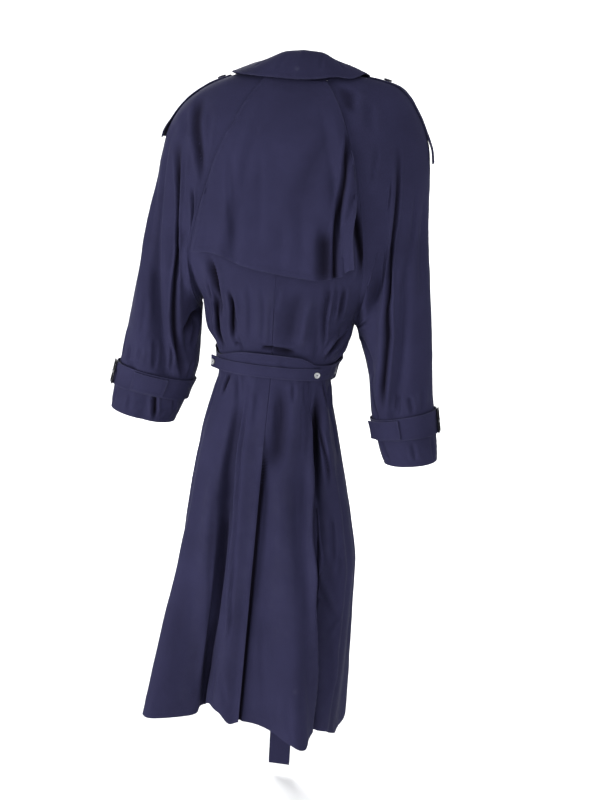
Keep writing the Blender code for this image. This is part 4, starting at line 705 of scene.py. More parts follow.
# ---------------------------------------------------------------- creases
# One row for each crease: its half-width and its depth in metres (a ridge has a negative
# depth), which of its sides spreads out softly (-1 to 1), and then the places that it runs
# through. On the body a place is an angle in degrees and a height, on a sleeve a turn and a
# ring, on other pieces two shares of the piece.
BODY_CREASES = [
    # between the flap and the belt, from the wearer's left side to the right
    (0.0026, 0.0034, 0, (39, -0.385), (44, -0.412), (51, -0.436), (52, -0.462), (51, -0.484)),
    (0.0036, 0.008, 0.3, (43, -0.417), (48, -0.454), (48, -0.481), (53, -0.51), (57, -0.535)),
    (0.0026, 0.007, 0, (9, -0.5105), (2, -0.512), (-6, -0.5135)),
    (0.0046, 0.01, 0, (4, -0.511), (-3, -0.5128), (-9, -0.5143), (-20, -0.5165)),
    (0.0042, 0.0075, -0.4, (33, -0.348), (33, -0.375), (35, -0.403), (40, -0.433), (41, -0.468)),
    (0.003, 0.007, 0.2, (27, -0.406), (29, -0.429), (30.6, -0.47), (31.3, -0.495), (33, -0.51)),
    (0.0022, 0.0046, 0, (34, -0.508), (29, -0.511), (25, -0.513)),
    (0.0034, 0.0016, 0, (25, -0.45), (28, -0.48), (31, -0.518)),
    (0.0034, 0.0012, 0, (1, -0.413), (2, -0.458), (2, -0.512)),
    (0.004, 0.0014, 0, (-2, -0.391), (-1, -0.42), (-1, -0.453)),
    (0.0036, 0.0012, 0, (7, -0.39), (6, -0.444), (8, -0.51)),
    (0.0044, 0.0016, 0.2, (13, -0.385), (16, -0.443), (17, -0.512)),
    (0.01, 0.0045, -0.4, (-15, -0.392), (-14, -0.435), (-14, -0.472), (-13, -0.51)),
    (0.009, -0.003, 0, (-20, -0.4), (-20, -0.44), (-21, -0.48), (-20, -0.515)),
    (0.003, 0.0045, -0.4, (-27, -0.374), (-32, -0.412), (-39, -0.459), (-43, -0.512)),
    (0.0042, 0.0052, 0, (-38, -0.385), (-42, -0.407), (-47, -0.43), (-53, -0.455)),
    (0.0038, 0.0026, 0, (-33, -0.384), (-37, -0.412), (-45, -0.447)),
    (0.0036, 0.0074, 0, (-72, -0.468), (-64, -0.482), (-59, -0.494), (-54, -0.512), (-52, -0.526)),
    (0.0036, -0.004, 0, (-62, -0.466), (-53, -0.484), (-48, -0.503), (-45, -0.522)),
    (0.0044, 0.0046, 0, (-82, -0.466), (-75, -0.494), (-69, -0.525)),
    (0.005, 0.0034, 0.3, (66, -0.44), (71, -0.48), (72, -0.524)),
    (0.005, 0.0028, 0, (84, -0.42), (80, -0.47), (83, -0.522)),
    # back of the skirt, from the left side to the right
    (0.0032, 0.006, 0.2, (43, -0.566), (45, -0.577), (47, -0.59), (48, -0.612)),
    (0.003, 0.0026, -0.3, (33, -0.562), (30, -0.588), (27, -0.622)),
    (0.0044, 0.002, 0, (19, -0.568), (17, -0.6), (17, -0.64)),
    (0.005, 0.0016, 0, (10, -0.59), (8, -0.662)),
    (0.011, 0.0052, 0, (-9, -0.565), (-11, -0.605), (-11, -0.651), (-10, -0.707), (-9, -0.753)),
    (0.003, 0.002, 0, (-7, -0.606), (-9, -0.642), (-9, -0.684)),
    (0.0066, 0.0046, 0.8, (27, -0.6), (25, -0.69), (26, -0.738), (26, -0.786), (26, -0.864),
     (24, -0.961), (24, -1.021), (26, -1.083), (26.5, -1.165), (27.5, -1.205)),
    (0.0044, 0.0052, 0.3, (26.5, -0.8), (26.5, -0.87), (24.8, -0.95), (24.6, -1.02), (26.5, -1.084),
     (27.6, -1.134), (27.6, -1.184), (29, -1.322)),
    (0.0024, -0.0048, 0, (20, -0.6), (19.4, -0.687), (16.6, -0.761), (15.5, -0.798), (13.3, -0.91),
     (12.1, -0.984), (10.4, -1.045), (12.9, -1.09)),
    (0.015, -0.006, 0, (34, -0.73), (34.5, -0.808), (34.5, -0.895), (32.5, -0.983), (32.5, -1.08),
     (33, -1.16), (34, -1.36)), (0.0042, 0.002, 0, (14, -1.095), (16, -1.147), (17, -1.2)),
    (0.0042, 0.0018, 0, (13, -1.1), (10, -1.147), (7, -1.196)),
    (0.007, 0.003, 0.6, (-2, -0.69), (-2.4, -0.8), (-2.8, -0.9), (-3, -1.02)),
    (0.0042, 0.013, 0.7, (-53, -0.576), (-50, -0.603), (-45, -0.659), (-40.6, -0.734), (-38, -0.828),
     (-37.3, -0.901), (-39, -0.979), (-41.5, -1.064), (-44.3, -1.142), (-51, -1.3)),
    (0.008, 0.008, 0, (-38.6, -0.84), (-39, -0.9), (-41.5, -0.985), (-44.6, -1.062), (-47.1, -1.141),
     (-53, -1.36)),
    (0.006, -0.0036, 0, (-37, -0.69), (-34.8, -0.78), (-34, -0.897), (-37.4, -1.048), (-42, -1.16),
     (-47, -1.33)),
    # beside the flap's lower corner
    (0.005, 0.009, 0.3, (-26.5, -0.235), (-31.3, -0.284), (-35, -0.312), (-39.3, -0.34), (-45, -0.375)),
    (0.02, -0.003, 0, (-12.5, -0.7), (-13.2, -0.863), (-17.9, -1.08)),
    (0.003, 0.0056, 0, (-49, -0.64), (-51, -0.666), (-52.3, -0.699), (-54, -0.732), (-54, -0.775)),
    (0.0028, 0.0066, 0, (-60, -0.57), (-62, -0.596), (-64, -0.622)),
    (0.0034, 0.006, 0, (-87, -0.57), (-84, -0.6), (-83, -0.63)),
    (0.0034, -0.0034, 0, (-43.5, -0.74), (-43.5, -0.8), (-44.5, -0.876), (-48, -0.944), (-56, -0.996),
     (-67, -1.03)), (0.003, -0.0022, 0, (-62, -1.005), (-58, -1.028), (-55, -1.058)),
    (0.0036, 0.004, 0, (-52.4, -0.81), (-53.5, -0.844), (-53.4, -0.873), (-54, -0.92)),
    (0.0036, 0.0026, 0, (-58, -0.87), (-56, -0.936)),
    (0.007, -0.0022, 0, (-55, -1.055), (-62, -1.107), (-64, -1.165)),
    (0.008, 0.003, 0.3, (-66, -0.7), (-70, -0.8), (-70, -0.9)),
    (0.01, 0.0018, 0, (-6, -0.73), (-5, -0.829), (-6, -0.91)),
    (0.009, 0.0014, 0, (-24, -0.745), (-26, -0.86), (-28, -1.01)),
    (0.004, 0.0011, 0, (-10, -0.785), (-11, -0.864), (-13, -0.944)),
    (0.004, 0.0012, 0, (-8, -1.01), (-11, -1.131), (-14, -1.196)),
    (0.005, 0.0013, 0, (-25, -1.14), (-27, -1.228)),
    (0.011, 0.0022, 0, (70, -0.65), (68, -0.78), (64, -0.9)),
    (0.0046, 0.0026, 0, (68, -0.571), (66, -0.62), (66, -0.67)),
    (0.005, 0.003, 0.2, (82, -0.57), (80, -0.65), (82, -0.74)),
    (0.005, 0.003, -0.2, (-76, -0.57), (-78, -0.64), (-76, -0.72)),
    (0.0036, 0.0024, 0, (-22, -0.569), (-23, -0.61)), (0.0036, 0.0022, 0, (-34, -0.57), (-36, -0.616)),
    # front above the belt
    (0.0052, 0.0036, 0.3, (99, -0.4), (104, -0.45), (104, -0.522)),
    (0.0042, 0.0032, 0, (113, -0.44), (112, -0.48), (110, -0.524)),
    (0.0056, 0.0042, -0.3, (119, -0.39), (124, -0.45), (128, -0.522)),
    (0.004, 0.0026, 0, (134, -0.462), (138, -0.522)), (0.0038, 0.002, 0, (158, -0.474), (156, -0.522)),
    (0.0064, 0.0024, 0, (104, -0.37), (114, -0.4), (124, -0.44)),
    (0.005, 0.0036, 0.2, (-96, -0.42), (-102, -0.47), (-103, -0.522)),
    (0.0046, 0.0034, 0, (-108, -0.42), (-114, -0.46), (-117, -0.52)),
    (0.0042, 0.0028, 0, (-127, -0.466), (-126, -0.522)),
    (0.0044, 0.0026, 0, (-138, -0.44), (-143, -0.48), (-142, -0.522)),
    (0.0036, 0.002, 0, (-156, -0.472), (-158, -0.522)),
    (0.0062, 0.0024, 0, (-104, -0.38), (-118, -0.42), (-130, -0.47)),
    # front of the skirt
    (0.005, 0.0034, 0.2, (95, -0.571), (98, -0.64), (97, -0.72)),
    (0.004, 0.003, 0, (106, -0.57), (104, -0.626)),
    (0.0062, 0.006, -0.5, (115, -0.572), (118, -0.68), (121, -0.8), (121, -0.93)),
    (0.008, 0.0044, 0.2, (122, -0.88), (119, -1.02), (122, -1.205)),
    (0.0042, 0.003, 0, (128, -0.57), (131, -0.645)), (0.0036, 0.0022, 0, (138, -0.569), (137, -0.606)),
    (0.0046, 0.0028, 0.3, (149, -0.57), (151, -0.63), (150, -0.7)),
    (0.0038, 0.0022, 0, (163, -0.57), (161, -0.628)),
    (0.01, 0.0024, 0, (141, -0.78), (146, -0.98), (144, -1.19)),
    (0.011, 0.0024, 0, (104, -0.82), (100, -1), (103, -1.18)),
    (0.0048, 0.0034, 0, (-95, -0.571), (-93, -0.66)),
    (0.0042, 0.0028, 0, (-107, -0.57), (-110, -0.638)),
    (0.0052, 0.004, 0.2, (-119, -0.57), (-124, -0.65), (-123, -0.74)),
    (0.0064, 0.0064, 0.5, (-131, -0.572), (-134, -0.69), (-137, -0.83), (-135, -0.96)),
    (0.008, 0.0044, -0.2, (-136, -0.91), (-140, -1.05), (-137, -1.2)),
    (0.0038, 0.0024, 0, (-147, -0.57), (-145, -0.614)),
    (0.0042, 0.0024, 0, (-158, -0.57), (-156, -0.655)),
    (0.011, 0.0024, 0, (-118, -0.8), (-112, -0.99), (-114, -1.18)),
    (0.012, 0.0022, 0, (-100, -0.78), (-104, -0.96), (-101, -1.14)),
]
SLEEVE_CREASES = {
    "left": [
        # on the back half
        (0.004, 0.0066, -0.5, (0.755, 2.81), (0.69, 2.72), (0.585, 2.72), (0.53, 2.91), (0.485, 3.33),
         (0.465, 3.84), (0.435, 4.36), (0.415, 5.48), (0.405, 6.19), (0.385, 7.5), (0.375, 8.34),
         (0.365, 8.95), (0.34, 9.47), (0.28, 10.36), (0.215, 11.25), (0.18, 11.8)),
        (0.0044, 0.006, -0.3, (0.9, 2.11), (0.74, 1.88), (0.655, 1.64), (0.585, 1.31), (0.515, 0.66),
         (0.49, 0.28)), (0.0034, 0.002, 0, (0.775, 1.59), (0.655, 1.17), (0.57, 0.56)),
        (0.0044, 0.004, 0, (0.52, 1.6), (0.43, 0.84), (0.365, 0.05)),
        (0.0052, 0.0026, 0, (0.87, 2.53), (0.735, 2.2), (0.68, 2.11)),
        (0.0044, 0.0026, 0, (0.655, 2.25), (0.57, 2.2), (0.48, 2.2)),
        (0.0052, 0.0024, 0, (0.655, 6.66), (0.575, 8.06), (0.52, 9.28)),
        (0.0048, 0.008, -0.8, (0.02, 5.9), (0.125, 7.08), (0.185, 7.92), (0.275, 8.9)),
        (0.0032, 0.003, 0, (0.38, 9.5), (0.345, 10.73), (0.325, 11.4)),
        (0.0036, 0.0034, 0, (0.53, 9.6), (0.5, 10.45), (0.47, 11.3)),
        (0.0044, 0.005, 0, (0.08, 7.2), (0.11, 8.48), (0.14, 9.62)),
        (0.0052, 0.0018, 0, (0.655, 7.88), (0.63, 9.09), (0.62, 10.17)),
        (0.004, 0.0066, 0, (0.42, 12.7), (0.38, 13.64), (0.315, 14.9)),
        (0.0034, 0.0026, 0, (0.21, 12.94), (0.135, 14.2)),
        (0.0046, 0.003, 0, (0.62, 10.1), (0.63, 11.4)), (0.0042, 0.0026, 0, (0.76, 10.3), (0.73, 11.4)),
        (0.008, 0.0026, 0.3, (0.88, 4), (0.76, 5.5), (0.74, 7.2)),
        (0.0056, 0.0026, 0, (0.9, 9.6), (0.84, 11.3)), (0.004, 0.0034, 0, (0.13, 10.2), (0.15, 11.5)),
        (0.005, 0.003, 0, (0.24, 3.2), (0.14, 4), (0.06, 5.2)),
        (0.0046, 0.0022, 0, (0.62, 13.1), (0.6, 14.8)), (0.0042, 0.002, 0, (0.8, 13.1), (0.83, 14.7)),
        # on the front half
        (0.0054, 0.0058, 0.4, (-0.06, 4.6), (-0.18, 6.2), (-0.3, 8.4)),
        (0.0046, 0.0044, 0, (-0.03, 6.9), (-0.14, 8.4), (-0.22, 9.6)),
        (0.0056, 0.0078, 0.6, (-0.56, 2.9), (-0.5, 4.2), (-0.48, 6), (-0.46, 8.6), (-0.42, 11.3)),
        (0.01, 0.0026, 0, (-0.84, 3.8), (-0.78, 5.4), (-0.72, 7)),
        (0.006, 0.0032, 0, (-0.72, 8.4), (-0.66, 11.2)),
        (0.0042, 0.0038, 0, (-0.28, 9.7), (-0.3, 11.4)), (0.004, 0.003, 0, (-0.14, 10), (-0.12, 11.4)),
        (0.0044, 0.0026, 0, (-0.88, 9.8), (-0.84, 11.3)),
        (0.0038, 0.0032, 0, (-0.58, 10.1), (-0.56, 11.4)),
        (0.0056, 0.003, 0, (-0.24, 1.8), (-0.14, 3.4)), (0.0042, 0.003, 0, (-0.4, 12.9), (-0.34, 14.8)),
        (0.0044, 0.0024, 0, (-0.7, 13), (-0.72, 14.8)),
    ],
    "right": [
        # on the back half
        (0.0042, 0.0064, -0.5, (0.72, 2.35), (0.675, 2.4), (0.635, 2.7), (0.605, 3.1), (0.57, 3.55),
         (0.52, 4.2), (0.5, 5.05), (0.497, 5.85), (0.495, 6.7), (0.475, 7.15), (0.46, 7.75),
         (0.45, 8.35), (0.425, 8.8), (0.39, 9.7), (0.365, 10.5), (0.34, 11.35), (0.29, 12.6)),
        (0.0026, 0.0024, 0, (0.66, 1.05), (0.595, 0.8), (0.54, 0.6)),
        (0.0042, 0.0022, 0, (0.805, 0.95), (0.74, 0.85), (0.69, 0.75)),
        (0.0042, 0.0018, 0, (0.59, 1.85), (0.52, 2.55)),
        (0.0036, 0.0054, 0, (0.225, 9.5), (0.17, 10.6), (0.195, 11.7), (0.2, 12.9)),
        (0.0054, 0.004, 0, (0.195, 13.9), (0.22, 14.7), (0.245, 15.7)),
        (0.0064, 0.002, 0, (0.72, 3.9), (0.715, 5.15), (0.68, 6.3)),
        (0.0044, 0.0026, 0, (0.48, 3.45), (0.435, 4.65), (0.42, 6.35)),
        (0.0044, 0.005, -0.3, (0.86, 0.62), (0.8, 0.5), (0.74, 0.34)),
        (0.005, 0.004, 0, (0.04, 6.2), (0.13, 7.6), (0.18, 9.2)),
        (0.0046, 0.003, 0, (0.08, 5), (0.2, 5.8), (0.28, 6.8)),
        (0.005, 0.0026, 0, (0.2, 3.2), (0.12, 4.6)), (0.0042, 0.0028, 0, (0.5, 11.1), (0.46, 12.6)),
        (0.0044, 0.0026, 0, (0.6, 11.4), (0.62, 12.7)), (0.0048, 0.0026, 0, (0.76, 11.2), (0.73, 12.6)),
        (0.01, 0.002, 0, (0.84, 4.6), (0.8, 6.6), (0.81, 8.4)),
        (0.0046, 0.002, 0, (0.58, 14.2), (0.58, 15.8)), (0.0042, 0.002, 0, (0.82, 14.1), (0.84, 15.8)),
        # on the front half
        (0.0054, 0.0056, 0.4, (-0.05, 5.4), (-0.17, 7.2), (-0.28, 9.4)),
        (0.0046, 0.0042, 0, (-0.03, 7.8), (-0.12, 9.3), (-0.2, 10.6)),
        (0.0058, 0.0078, 0.6, (-0.6, 3.4), (-0.53, 5.2), (-0.5, 7.2), (-0.46, 9.6), (-0.4, 12.6)),
        (0.01, 0.0026, 0, (-0.82, 5), (-0.76, 6.6), (-0.72, 8.2)),
        (0.006, 0.0032, 0, (-0.7, 9.4), (-0.64, 12.4)),
        (0.0042, 0.0036, 0, (-0.24, 10.8), (-0.27, 12.6)),
        (0.0044, 0.0028, 0, (-0.86, 10.9), (-0.83, 12.6)),
        (0.0038, 0.0028, 0, (-0.12, 11.2), (-0.11, 12.6)),
        (0.0056, 0.003, 0, (-0.22, 2.6), (-0.13, 4.4)),
        (0.0042, 0.003, 0, (-0.38, 14.1), (-0.33, 15.9)),
        (0.0044, 0.0024, 0, (-0.7, 14.2), (-0.72, 15.8)),
    ],
}
FLAP_CREASES = [
    (0.0048, 0.004, 0.3, (0.115, 0.4), (0.195, 0.565), (0.26, 0.765), (0.3, 0.905), (0.322, 1.02)),
    (0.0032, 0.0022, 0, (0.125, 0.47), (0.21, 0.67), (0.255, 0.845)),
    (0.005, 0.002, 0, (0.01, 0.2), (0.022, 0.3)),
    (0.015, 0.0042, 0, (0.9, 0.2), (0.81, 0.29), (0.695, 0.415), (0.65, 0.565), (0.63, 0.76)),
    (0.0034, 0.01, 0.5, (1.03, 0.2), (0.985, 0.3), (0.93, 0.4), (0.902, 0.49), (0.88, 0.59),
     (0.865, 0.685), (0.855, 0.785), (0.85, 0.895), (0.85, 1.3)),
    (0.013, 0.006, 0, (0.78, 0.72), (0.77, 0.85), (0.765, 1.06)),
    (0.01, -0.004, 0, (0.735, 0.66), (0.722, 0.84), (0.72, 1.06)),
    (0.0046, 0.004, 0, (0.985, 0.56), (0.97, 0.665), (0.945, 0.77)),
    (0.0064, 0.0014, 0, (0.335, 0.365), (0.395, 0.625), (0.455, 0.935)),
    (0.006, 0.0022, 0, (0.004, 0.48), (0.01, 0.6), (0.03, 0.73)),
    (0.008, 0.002, 0, (0.635, 0.6), (0.64, 0.79), (0.68, 0.935)),
    (0.01, 0.002, 0, (0.07, 0.78), (0.12, 1.02)), (0.01, 0.0018, 0, (0.545, 0.7), (0.56, 1.02)),
]
CREASE_DEPTH = 1.5        # how much deeper the creases of body and sleeves are than their rows
REACH = 3.2               # half-widths of a crease beyond which it is flat
SOFT_SIDE = 2.5           # how much a crease widens on the side that it leans to
LIP_AT = 1.7              # half-widths from a crease where the cloth rises beside it
LIP_WIDE = 1.1            # half-widths over which it rises
LIP_HIGH = 0.36           # and how much, as a share of the crease's depth
PAINTED_SHADE_FROM = 0.0038      # depth from which the bottom of a crease is painted in shade
RUBBED_FROM = 0.0020      # height from which a ridge is rubbed pale
PUCKER = 0.013            # length of a pucker along a seam
ROPE = 0.017              # length of a slanting ripple in a turned hem
UNDER = 0.012             # how far below the cloth the search for a cover begins
OVER = 0.010              # how far above it ends
KEPT_CLEAR = 0.0003       # least gap between cloth and a piece over it


def relief(creases, u, v, wide, tall=1.0):
    """Height that creases add at the places (u, v), and how much painted shade each place gets deep in
    a crease, from 0 to 1, and below 0 where a narrow ridge is rubbed pale. wide and tall are the metres
    of one unit of u and of v there."""
    shape = np.broadcast(u, v, wide, tall).shape
    u, v, wide, tall = (np.broadcast_to(part, shape).reshape(-1) for part in (u, v, wide, tall))
    out, inside = np.zeros(len(u)), np.zeros(len(u))
    for half, depth, lean, *places in creases:
        line = np.array(places, dtype=float)
        if len(line) > 2:    # its corners are cut off
            near = 0.75 * line[:-1] + 0.25 * line[1:]
            far = 0.25 * line[:-1] + 0.75 * line[1:]
            between = np.stack([near, far], axis=1).reshape(-1, 2)[1:-1]
            line = np.concatenate([line[:1], between, line[-1:]])
        reach = REACH * half * (1 + SOFT_SIDE * abs(lean))
        low, high = line.min(axis=0), line.max(axis=0)
        here = np.nonzero((u > low[0] - reach / wide) & (u < high[0] + reach / wide)
                          & (v > low[1] - reach / tall) & (v < high[1] + reach / tall))[0]
        if not len(here):
            continue
        at, metres = np.stack([u[here], v[here]], -1), np.stack([wide[here], tall[here]], -1)
        nearest = np.full(len(here), 1e9)
        across, along, start = 0 * nearest, 0 * nearest, 0 * nearest
        for first, second in zip(line[:-1], line[1:]):
            run, away = (second - first) * metres, (at - first) * metres
            length = np.linalg.norm(run, axis=-1)
            t = np.clip(np.sum(run * away, axis=-1) / length ** 2, 0.0, 1.0)
            apart = np.linalg.norm(away - t[:, None] * run, axis=-1)
            side = np.sign(away[:, 0] * run[:, 1] - away[:, 1] * run[:, 0])
            closer = apart < nearest
            nearest = np.where(closer, apart, nearest)
            across = np.where(closer, side * apart, across)
            along = np.where(closer, start + t * length, along)
            start = start + length
        sway = 0.25 * half * np.sin(along / (6.0 * half) + 900.0 * half + line[0, 0])
        across = across - sway
        spread = 1 + SOFT_SIDE * np.where(across > 0, max(lean, 0.0), max(-lean, 0.0))
        x = across / (half * spread)
        lips = (np.exp(-((x - LIP_AT) / LIP_WIDE) ** 2)
                + np.exp(-((x + LIP_AT) / LIP_WIDE) ** 2))
        ends = (ease(along / np.minimum(0.070, 0.30 * start))
                * ease((start - along) / np.minimum(0.080, 0.35 * start)))
        uneven = 1 + 0.16 * np.sin(along / 0.031 + 37.0 * line[0, 1])
        out[here] += depth * ends * uneven * (LIP_HIGH * lips - np.exp(-np.abs(x) ** 1.6))
        # painted shade at the bottom of a deep crease, and pale rubbing on a narrow ridge
        painted_fold_shade = np.clip((depth - PAINTED_SHADE_FROM) / 0.0030, 0, 1)
        painted_fold_shade = painted_fold_shade * ends * np.exp(-np.abs(x / 0.95) ** 2.6)
        rubbed = np.clip((-depth - RUBBED_FROM) / 0.0040, 0, 0.6)
        rubbed = rubbed * ends * np.exp(-(x / 0.7) ** 2)
        inside[here] = np.maximum(inside[here], painted_fold_shade) - rubbed * (half < 0.004) * (painted_fold_shade < 0.1)
    return out.reshape(shape), inside.reshape(shape)


def grid_normals(grid, towards, ring=False):
    """Unit normals of a grid of points, on the side that faces towards."""
    if ring:
        across = np.roll(grid, -1, axis=1) - np.roll(grid, 1, axis=1)
    else:
        across = np.gradient(grid, axis=1)
    n = unit(np.cross(across, np.gradient(grid, axis=0)))
    return -n if np.sum(n * towards) < 0 else n


def fitted_under(grid, out, centre, covers):
    """The relief, held down wherever it would rise into a piece that lies over the cloth."""
    normal = grid_normals(grid, grid - centre)
    out = out.copy()
    for cover in covers:
        mesh = cover.data
        points = np.empty(len(mesh.vertices) * 3, dtype=np.float32)
        mesh.vertices.foreach_get("co", points)
        points = points.reshape(-1, 3)
        low, high = points.min(axis=0) - UNDER, points.max(axis=0) + UNDER
        tree = BVHTree.FromPolygons([tuple(p) for p in points],
                                    [tuple(face.vertices) for face in mesh.polygons])
        for row, column in np.argwhere(np.all((grid > low) & (grid < high), axis=-1)):
            way = Vector(normal[row, column])
            start = Vector(grid[row, column]) - UNDER * way
            hit = tree.ray_cast(start, way, UNDER + OVER)
            if hit[0] is not None and hit[1].dot(way) < 0:
                room = hit[3] - UNDER - KEPT_CLEAR
                out[row, column] = min(room, out[row, column])
    return out


def hand_worn(points, size, seed):
    """Small soft unevenness of worn cloth, from a few waves that cross one another."""
    dice = np.random.default_rng(seed)
    out = np.zeros(points.shape[:-1])
    for _ in range(16):
        way = dice.normal(size=3)
        way /= np.linalg.norm(way)
        wave = size * dice.uniform(0.6, 2.2)
        out += np.sin(points @ way * 2 * math.pi / wave + dice.uniform(0, 6.28)) / 4.0
    return out


def along_rows(grid):
    """Distance of each point of a grid from the start of its row, along the row."""
    step = np.linalg.norm(np.diff(grid, axis=1), axis=-1)
    return np.concatenate([np.zeros((len(grid), 1)), np.cumsum(step, axis=1)], axis=1)


def edge_distances(grid):
    """Distances of each point from the first and last column and the first and last row."""
    side = along_rows(grid)
    down = along_rows(grid.transpose(1, 0, 2)).T
    return side, side[:, -1:] - side, down, down[-1:] - down


def groove(distance, width=0.0016, deep=0.0003):
    return -deep * np.exp(-(distance / width) ** 2)


def puckers(distance, along, size):
    """Small puckers along a seam, uneven in length and spacing."""
    uneven = 0.6 + 0.4 * np.sin(along / PUCKER * 1.7 + 1.0)
    wave = np.sin(2 * math.pi * along / PUCKER + 1.3 * np.sin(along / PUCKER * 2.3))
    return size * uneven * wave * np.exp(-((distance - 0.004) / 0.005) ** 2)


def turned_hem(distance, along, deep, size):
    """A hem turned up by the distance deep: a little thicker, with its stitches drawn in."""
    thick = size * ease((deep + 0.001 - distance) / 0.002)
    drawn = groove(distance - deep, 0.0016, 0.00009)
    rope = 0.00035 * np.sin(2 * math.pi * (along + 0.5 * distance) / ROPE)
    rope = rope * np.exp(-((distance - 0.5 * deep) / (0.5 * deep)) ** 2)
    return thick + drawn + rope


# ---------------------------------------------------------------- cloth pieces
RIM_ROUND = 0.35          # how far the middle of a cut edge bulges, in thicknesses


def grid_faces(rows, columns, width, ring):
    """Corner numbers of a grid's faces, with numbers that wrap round a ring and ones that
    do not, for the cloth's own coordinates."""
    r, c = np.meshgrid(np.arange(rows - 1), np.arange(columns), indexing="ij")
    corners = np.stack([r * width + c, r * width + c + 1, (r + 1) * width + c + 1,
                        (r + 1) * width + c], axis=-1).reshape(-1, 4)
    if not ring:
        return corners, corners
    wrapped = np.stack([r * columns + c, r * columns + (c + 1) % columns,
                        (r + 1) * columns + (c + 1) % columns, (r + 1) * columns + c], axis=-1)
    return wrapped.reshape(-1, 4), corners


def cloth(node, grid, out, thick, uv, wear_and_shade=0.0, ring=False, centre=0.0, inside=0.0):
    """A wall of cloth over a solid: the grid moved out by the relief, its inner side and a
    rounded rim.

    uv holds the cloth's own coordinates in metres, and with ring it has one column more than the grid.
    centre lies on the inner side of the grid. inside is the painted shade deep in the creases, which
    goes into one layer with the wear.
    """
    normal = grid_normals(grid, grid - centre, ring)
    outer = grid + np.asarray(out)[..., None] * normal
    turned = grid_normals(outer, normal, ring)
    for _ in range(2):
        turned[1:-1] = (turned[:-2] + 2 * turned[1:-1] + turned[2:]) / 4
        turned = unit(turned)
    inner = outer - thick * turned
    rows, columns = grid.shape[:2]
    count = rows * columns
    # one layer of wear above zero and painted shade below it: the painted shade deep in the creases is
    # taken off the wear
    wear_and_shade = (wear_and_shade - inside + np.zeros((rows, columns))).reshape(-1)
    faces, flat = grid_faces(rows, columns if ring else columns - 1, columns + ring, ring)
    all_faces, all_flat = [faces, faces[:, ::-1] + count], [flat, flat[:, ::-1]]
    index = np.arange(count).reshape(rows, columns)
    if ring:
        uv_index = np.arange(rows * (columns + 1)).reshape(rows, columns + 1)
        loops = [(index[0], index[1], uv_index[0]),
                 (index[-1][::-1], index[-2][::-1], uv_index[-1][::-1])]
    else:
        def around(at):
            return np.concatenate([at[0], at[1:, -1], at[-1, -2::-1], at[-2:0:-1, 0]])
        next_in = index[np.clip(np.arange(rows), 1, rows - 2)]
        next_in = next_in[:, np.clip(np.arange(columns), 1, columns - 2)]
        edge = around(index)
        loops = [(edge, around(next_in), np.append(edge, edge[0]))]
    outer, inner, turned = (part.reshape(-1, 3) for part in (outer, inner, turned))
    points, worn = [outer, inner], [wear_and_shade, 0 * wear_and_shade]
    start = 2 * count
    for edge, next_in, edge_uv in loops:
        n = len(edge)
        away = outer[edge] - outer[next_in]
        away = unit(away - np.sum(away * turned[edge], axis=-1, keepdims=True) * turned[edge])
        points.append((outer[edge] + inner[edge]) / 2 + RIM_ROUND * thick * away)
        worn.append(wear_and_shade[edge])
        here, there = start + np.arange(n), start + (np.arange(n) + 1) % n
        next_edge = edge[there - start]
        all_faces += [np.stack([next_edge, edge, here, there], -1),
                      np.stack([there, here, edge + count, next_edge + count], -1)]
        all_flat += 2 * [np.stack([edge_uv[1:n + 1], edge_uv[:n], edge_uv[:n],
                                   edge_uv[1:n + 1]], -1)]
        start += n
    points, faces, flat = (np.concatenate(parts) for parts in (points, all_faces, all_flat))
    a, b, c, d = points[faces].transpose(1, 0, 2)
    if np.sum(a * np.cross(b, c)) + np.sum(a * np.cross(c, d)) < 0:
        faces, flat = faces[:, ::-1], flat[:, ::-1]
    piece = add_piece("cloth_" + node, points, faces, NAVY_CLOTH)
    mesh = piece.data
    layer = mesh.uv_layers.new(name="cloth")
    layer.data.foreach_set("uv", uv.reshape(-1, 2)[flat].reshape(-1).astype(np.float32))
    # the layer of wear and painted shade that the gabardine reads
    rubbed = mesh.attributes.new("wear_and_shade", "FLOAT", "POINT")
    rubbed.data.foreach_set("value", np.clip(np.concatenate(worn), -1, 1).astype(np.float32))
    on_rim = np.zeros(len(points), dtype=bool)
    for edge, _, _ in loops:
        on_rim[edge] = True
    ends = np.empty(2 * len(mesh.edges), dtype=np.int32)
    mesh.edges.foreach_get("vertices", ends)
    crisp = mesh.attributes.new("sharp_edge", "BOOLEAN", "EDGE")
    crisp.data.foreach_set("value", on_rim[ends.reshape(-1, 2)].all(axis=1))
    return placed(piece, "gabardine", node)


def add_piece(name, points, faces, finish):
    mesh = bpy.data.meshes.new(name)
    mesh.from_pydata(np.asarray(points).tolist(), [], np.asarray(faces).tolist())
    mesh.shade_smooth()
    mesh.materials.append(finish)
    piece = bpy.data.objects.new(name, mesh)
    bpy.context.scene.collection.objects.link(piece)
    return piece


def placed(piece, slot, *nodes):
    """Hangs a finished piece under the root and hides the solids that it stands for."""
    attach(piece, "root")
    if nodes:
        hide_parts(*nodes)
    return piece


# ---------------------------------------------------------------- topstitching
STITCH_PITCH = 0.0052     # from one stitch to the next
STITCH_LONG = 0.0040
STITCH_THICK = 0.00020
# Rings of one stitch: place along it, thickness and height.
STITCH_RINGS = ((-0.50, 0.35, -0.6), (-0.30, 1.0, 0.1), (0.30, 1.0, 0.1), (0.50, 0.35, -0.6))
STITCH_SIDES = 4          # corners of each ring
stitch_lines = {"body": [], "sleeves": [], "trim": []}


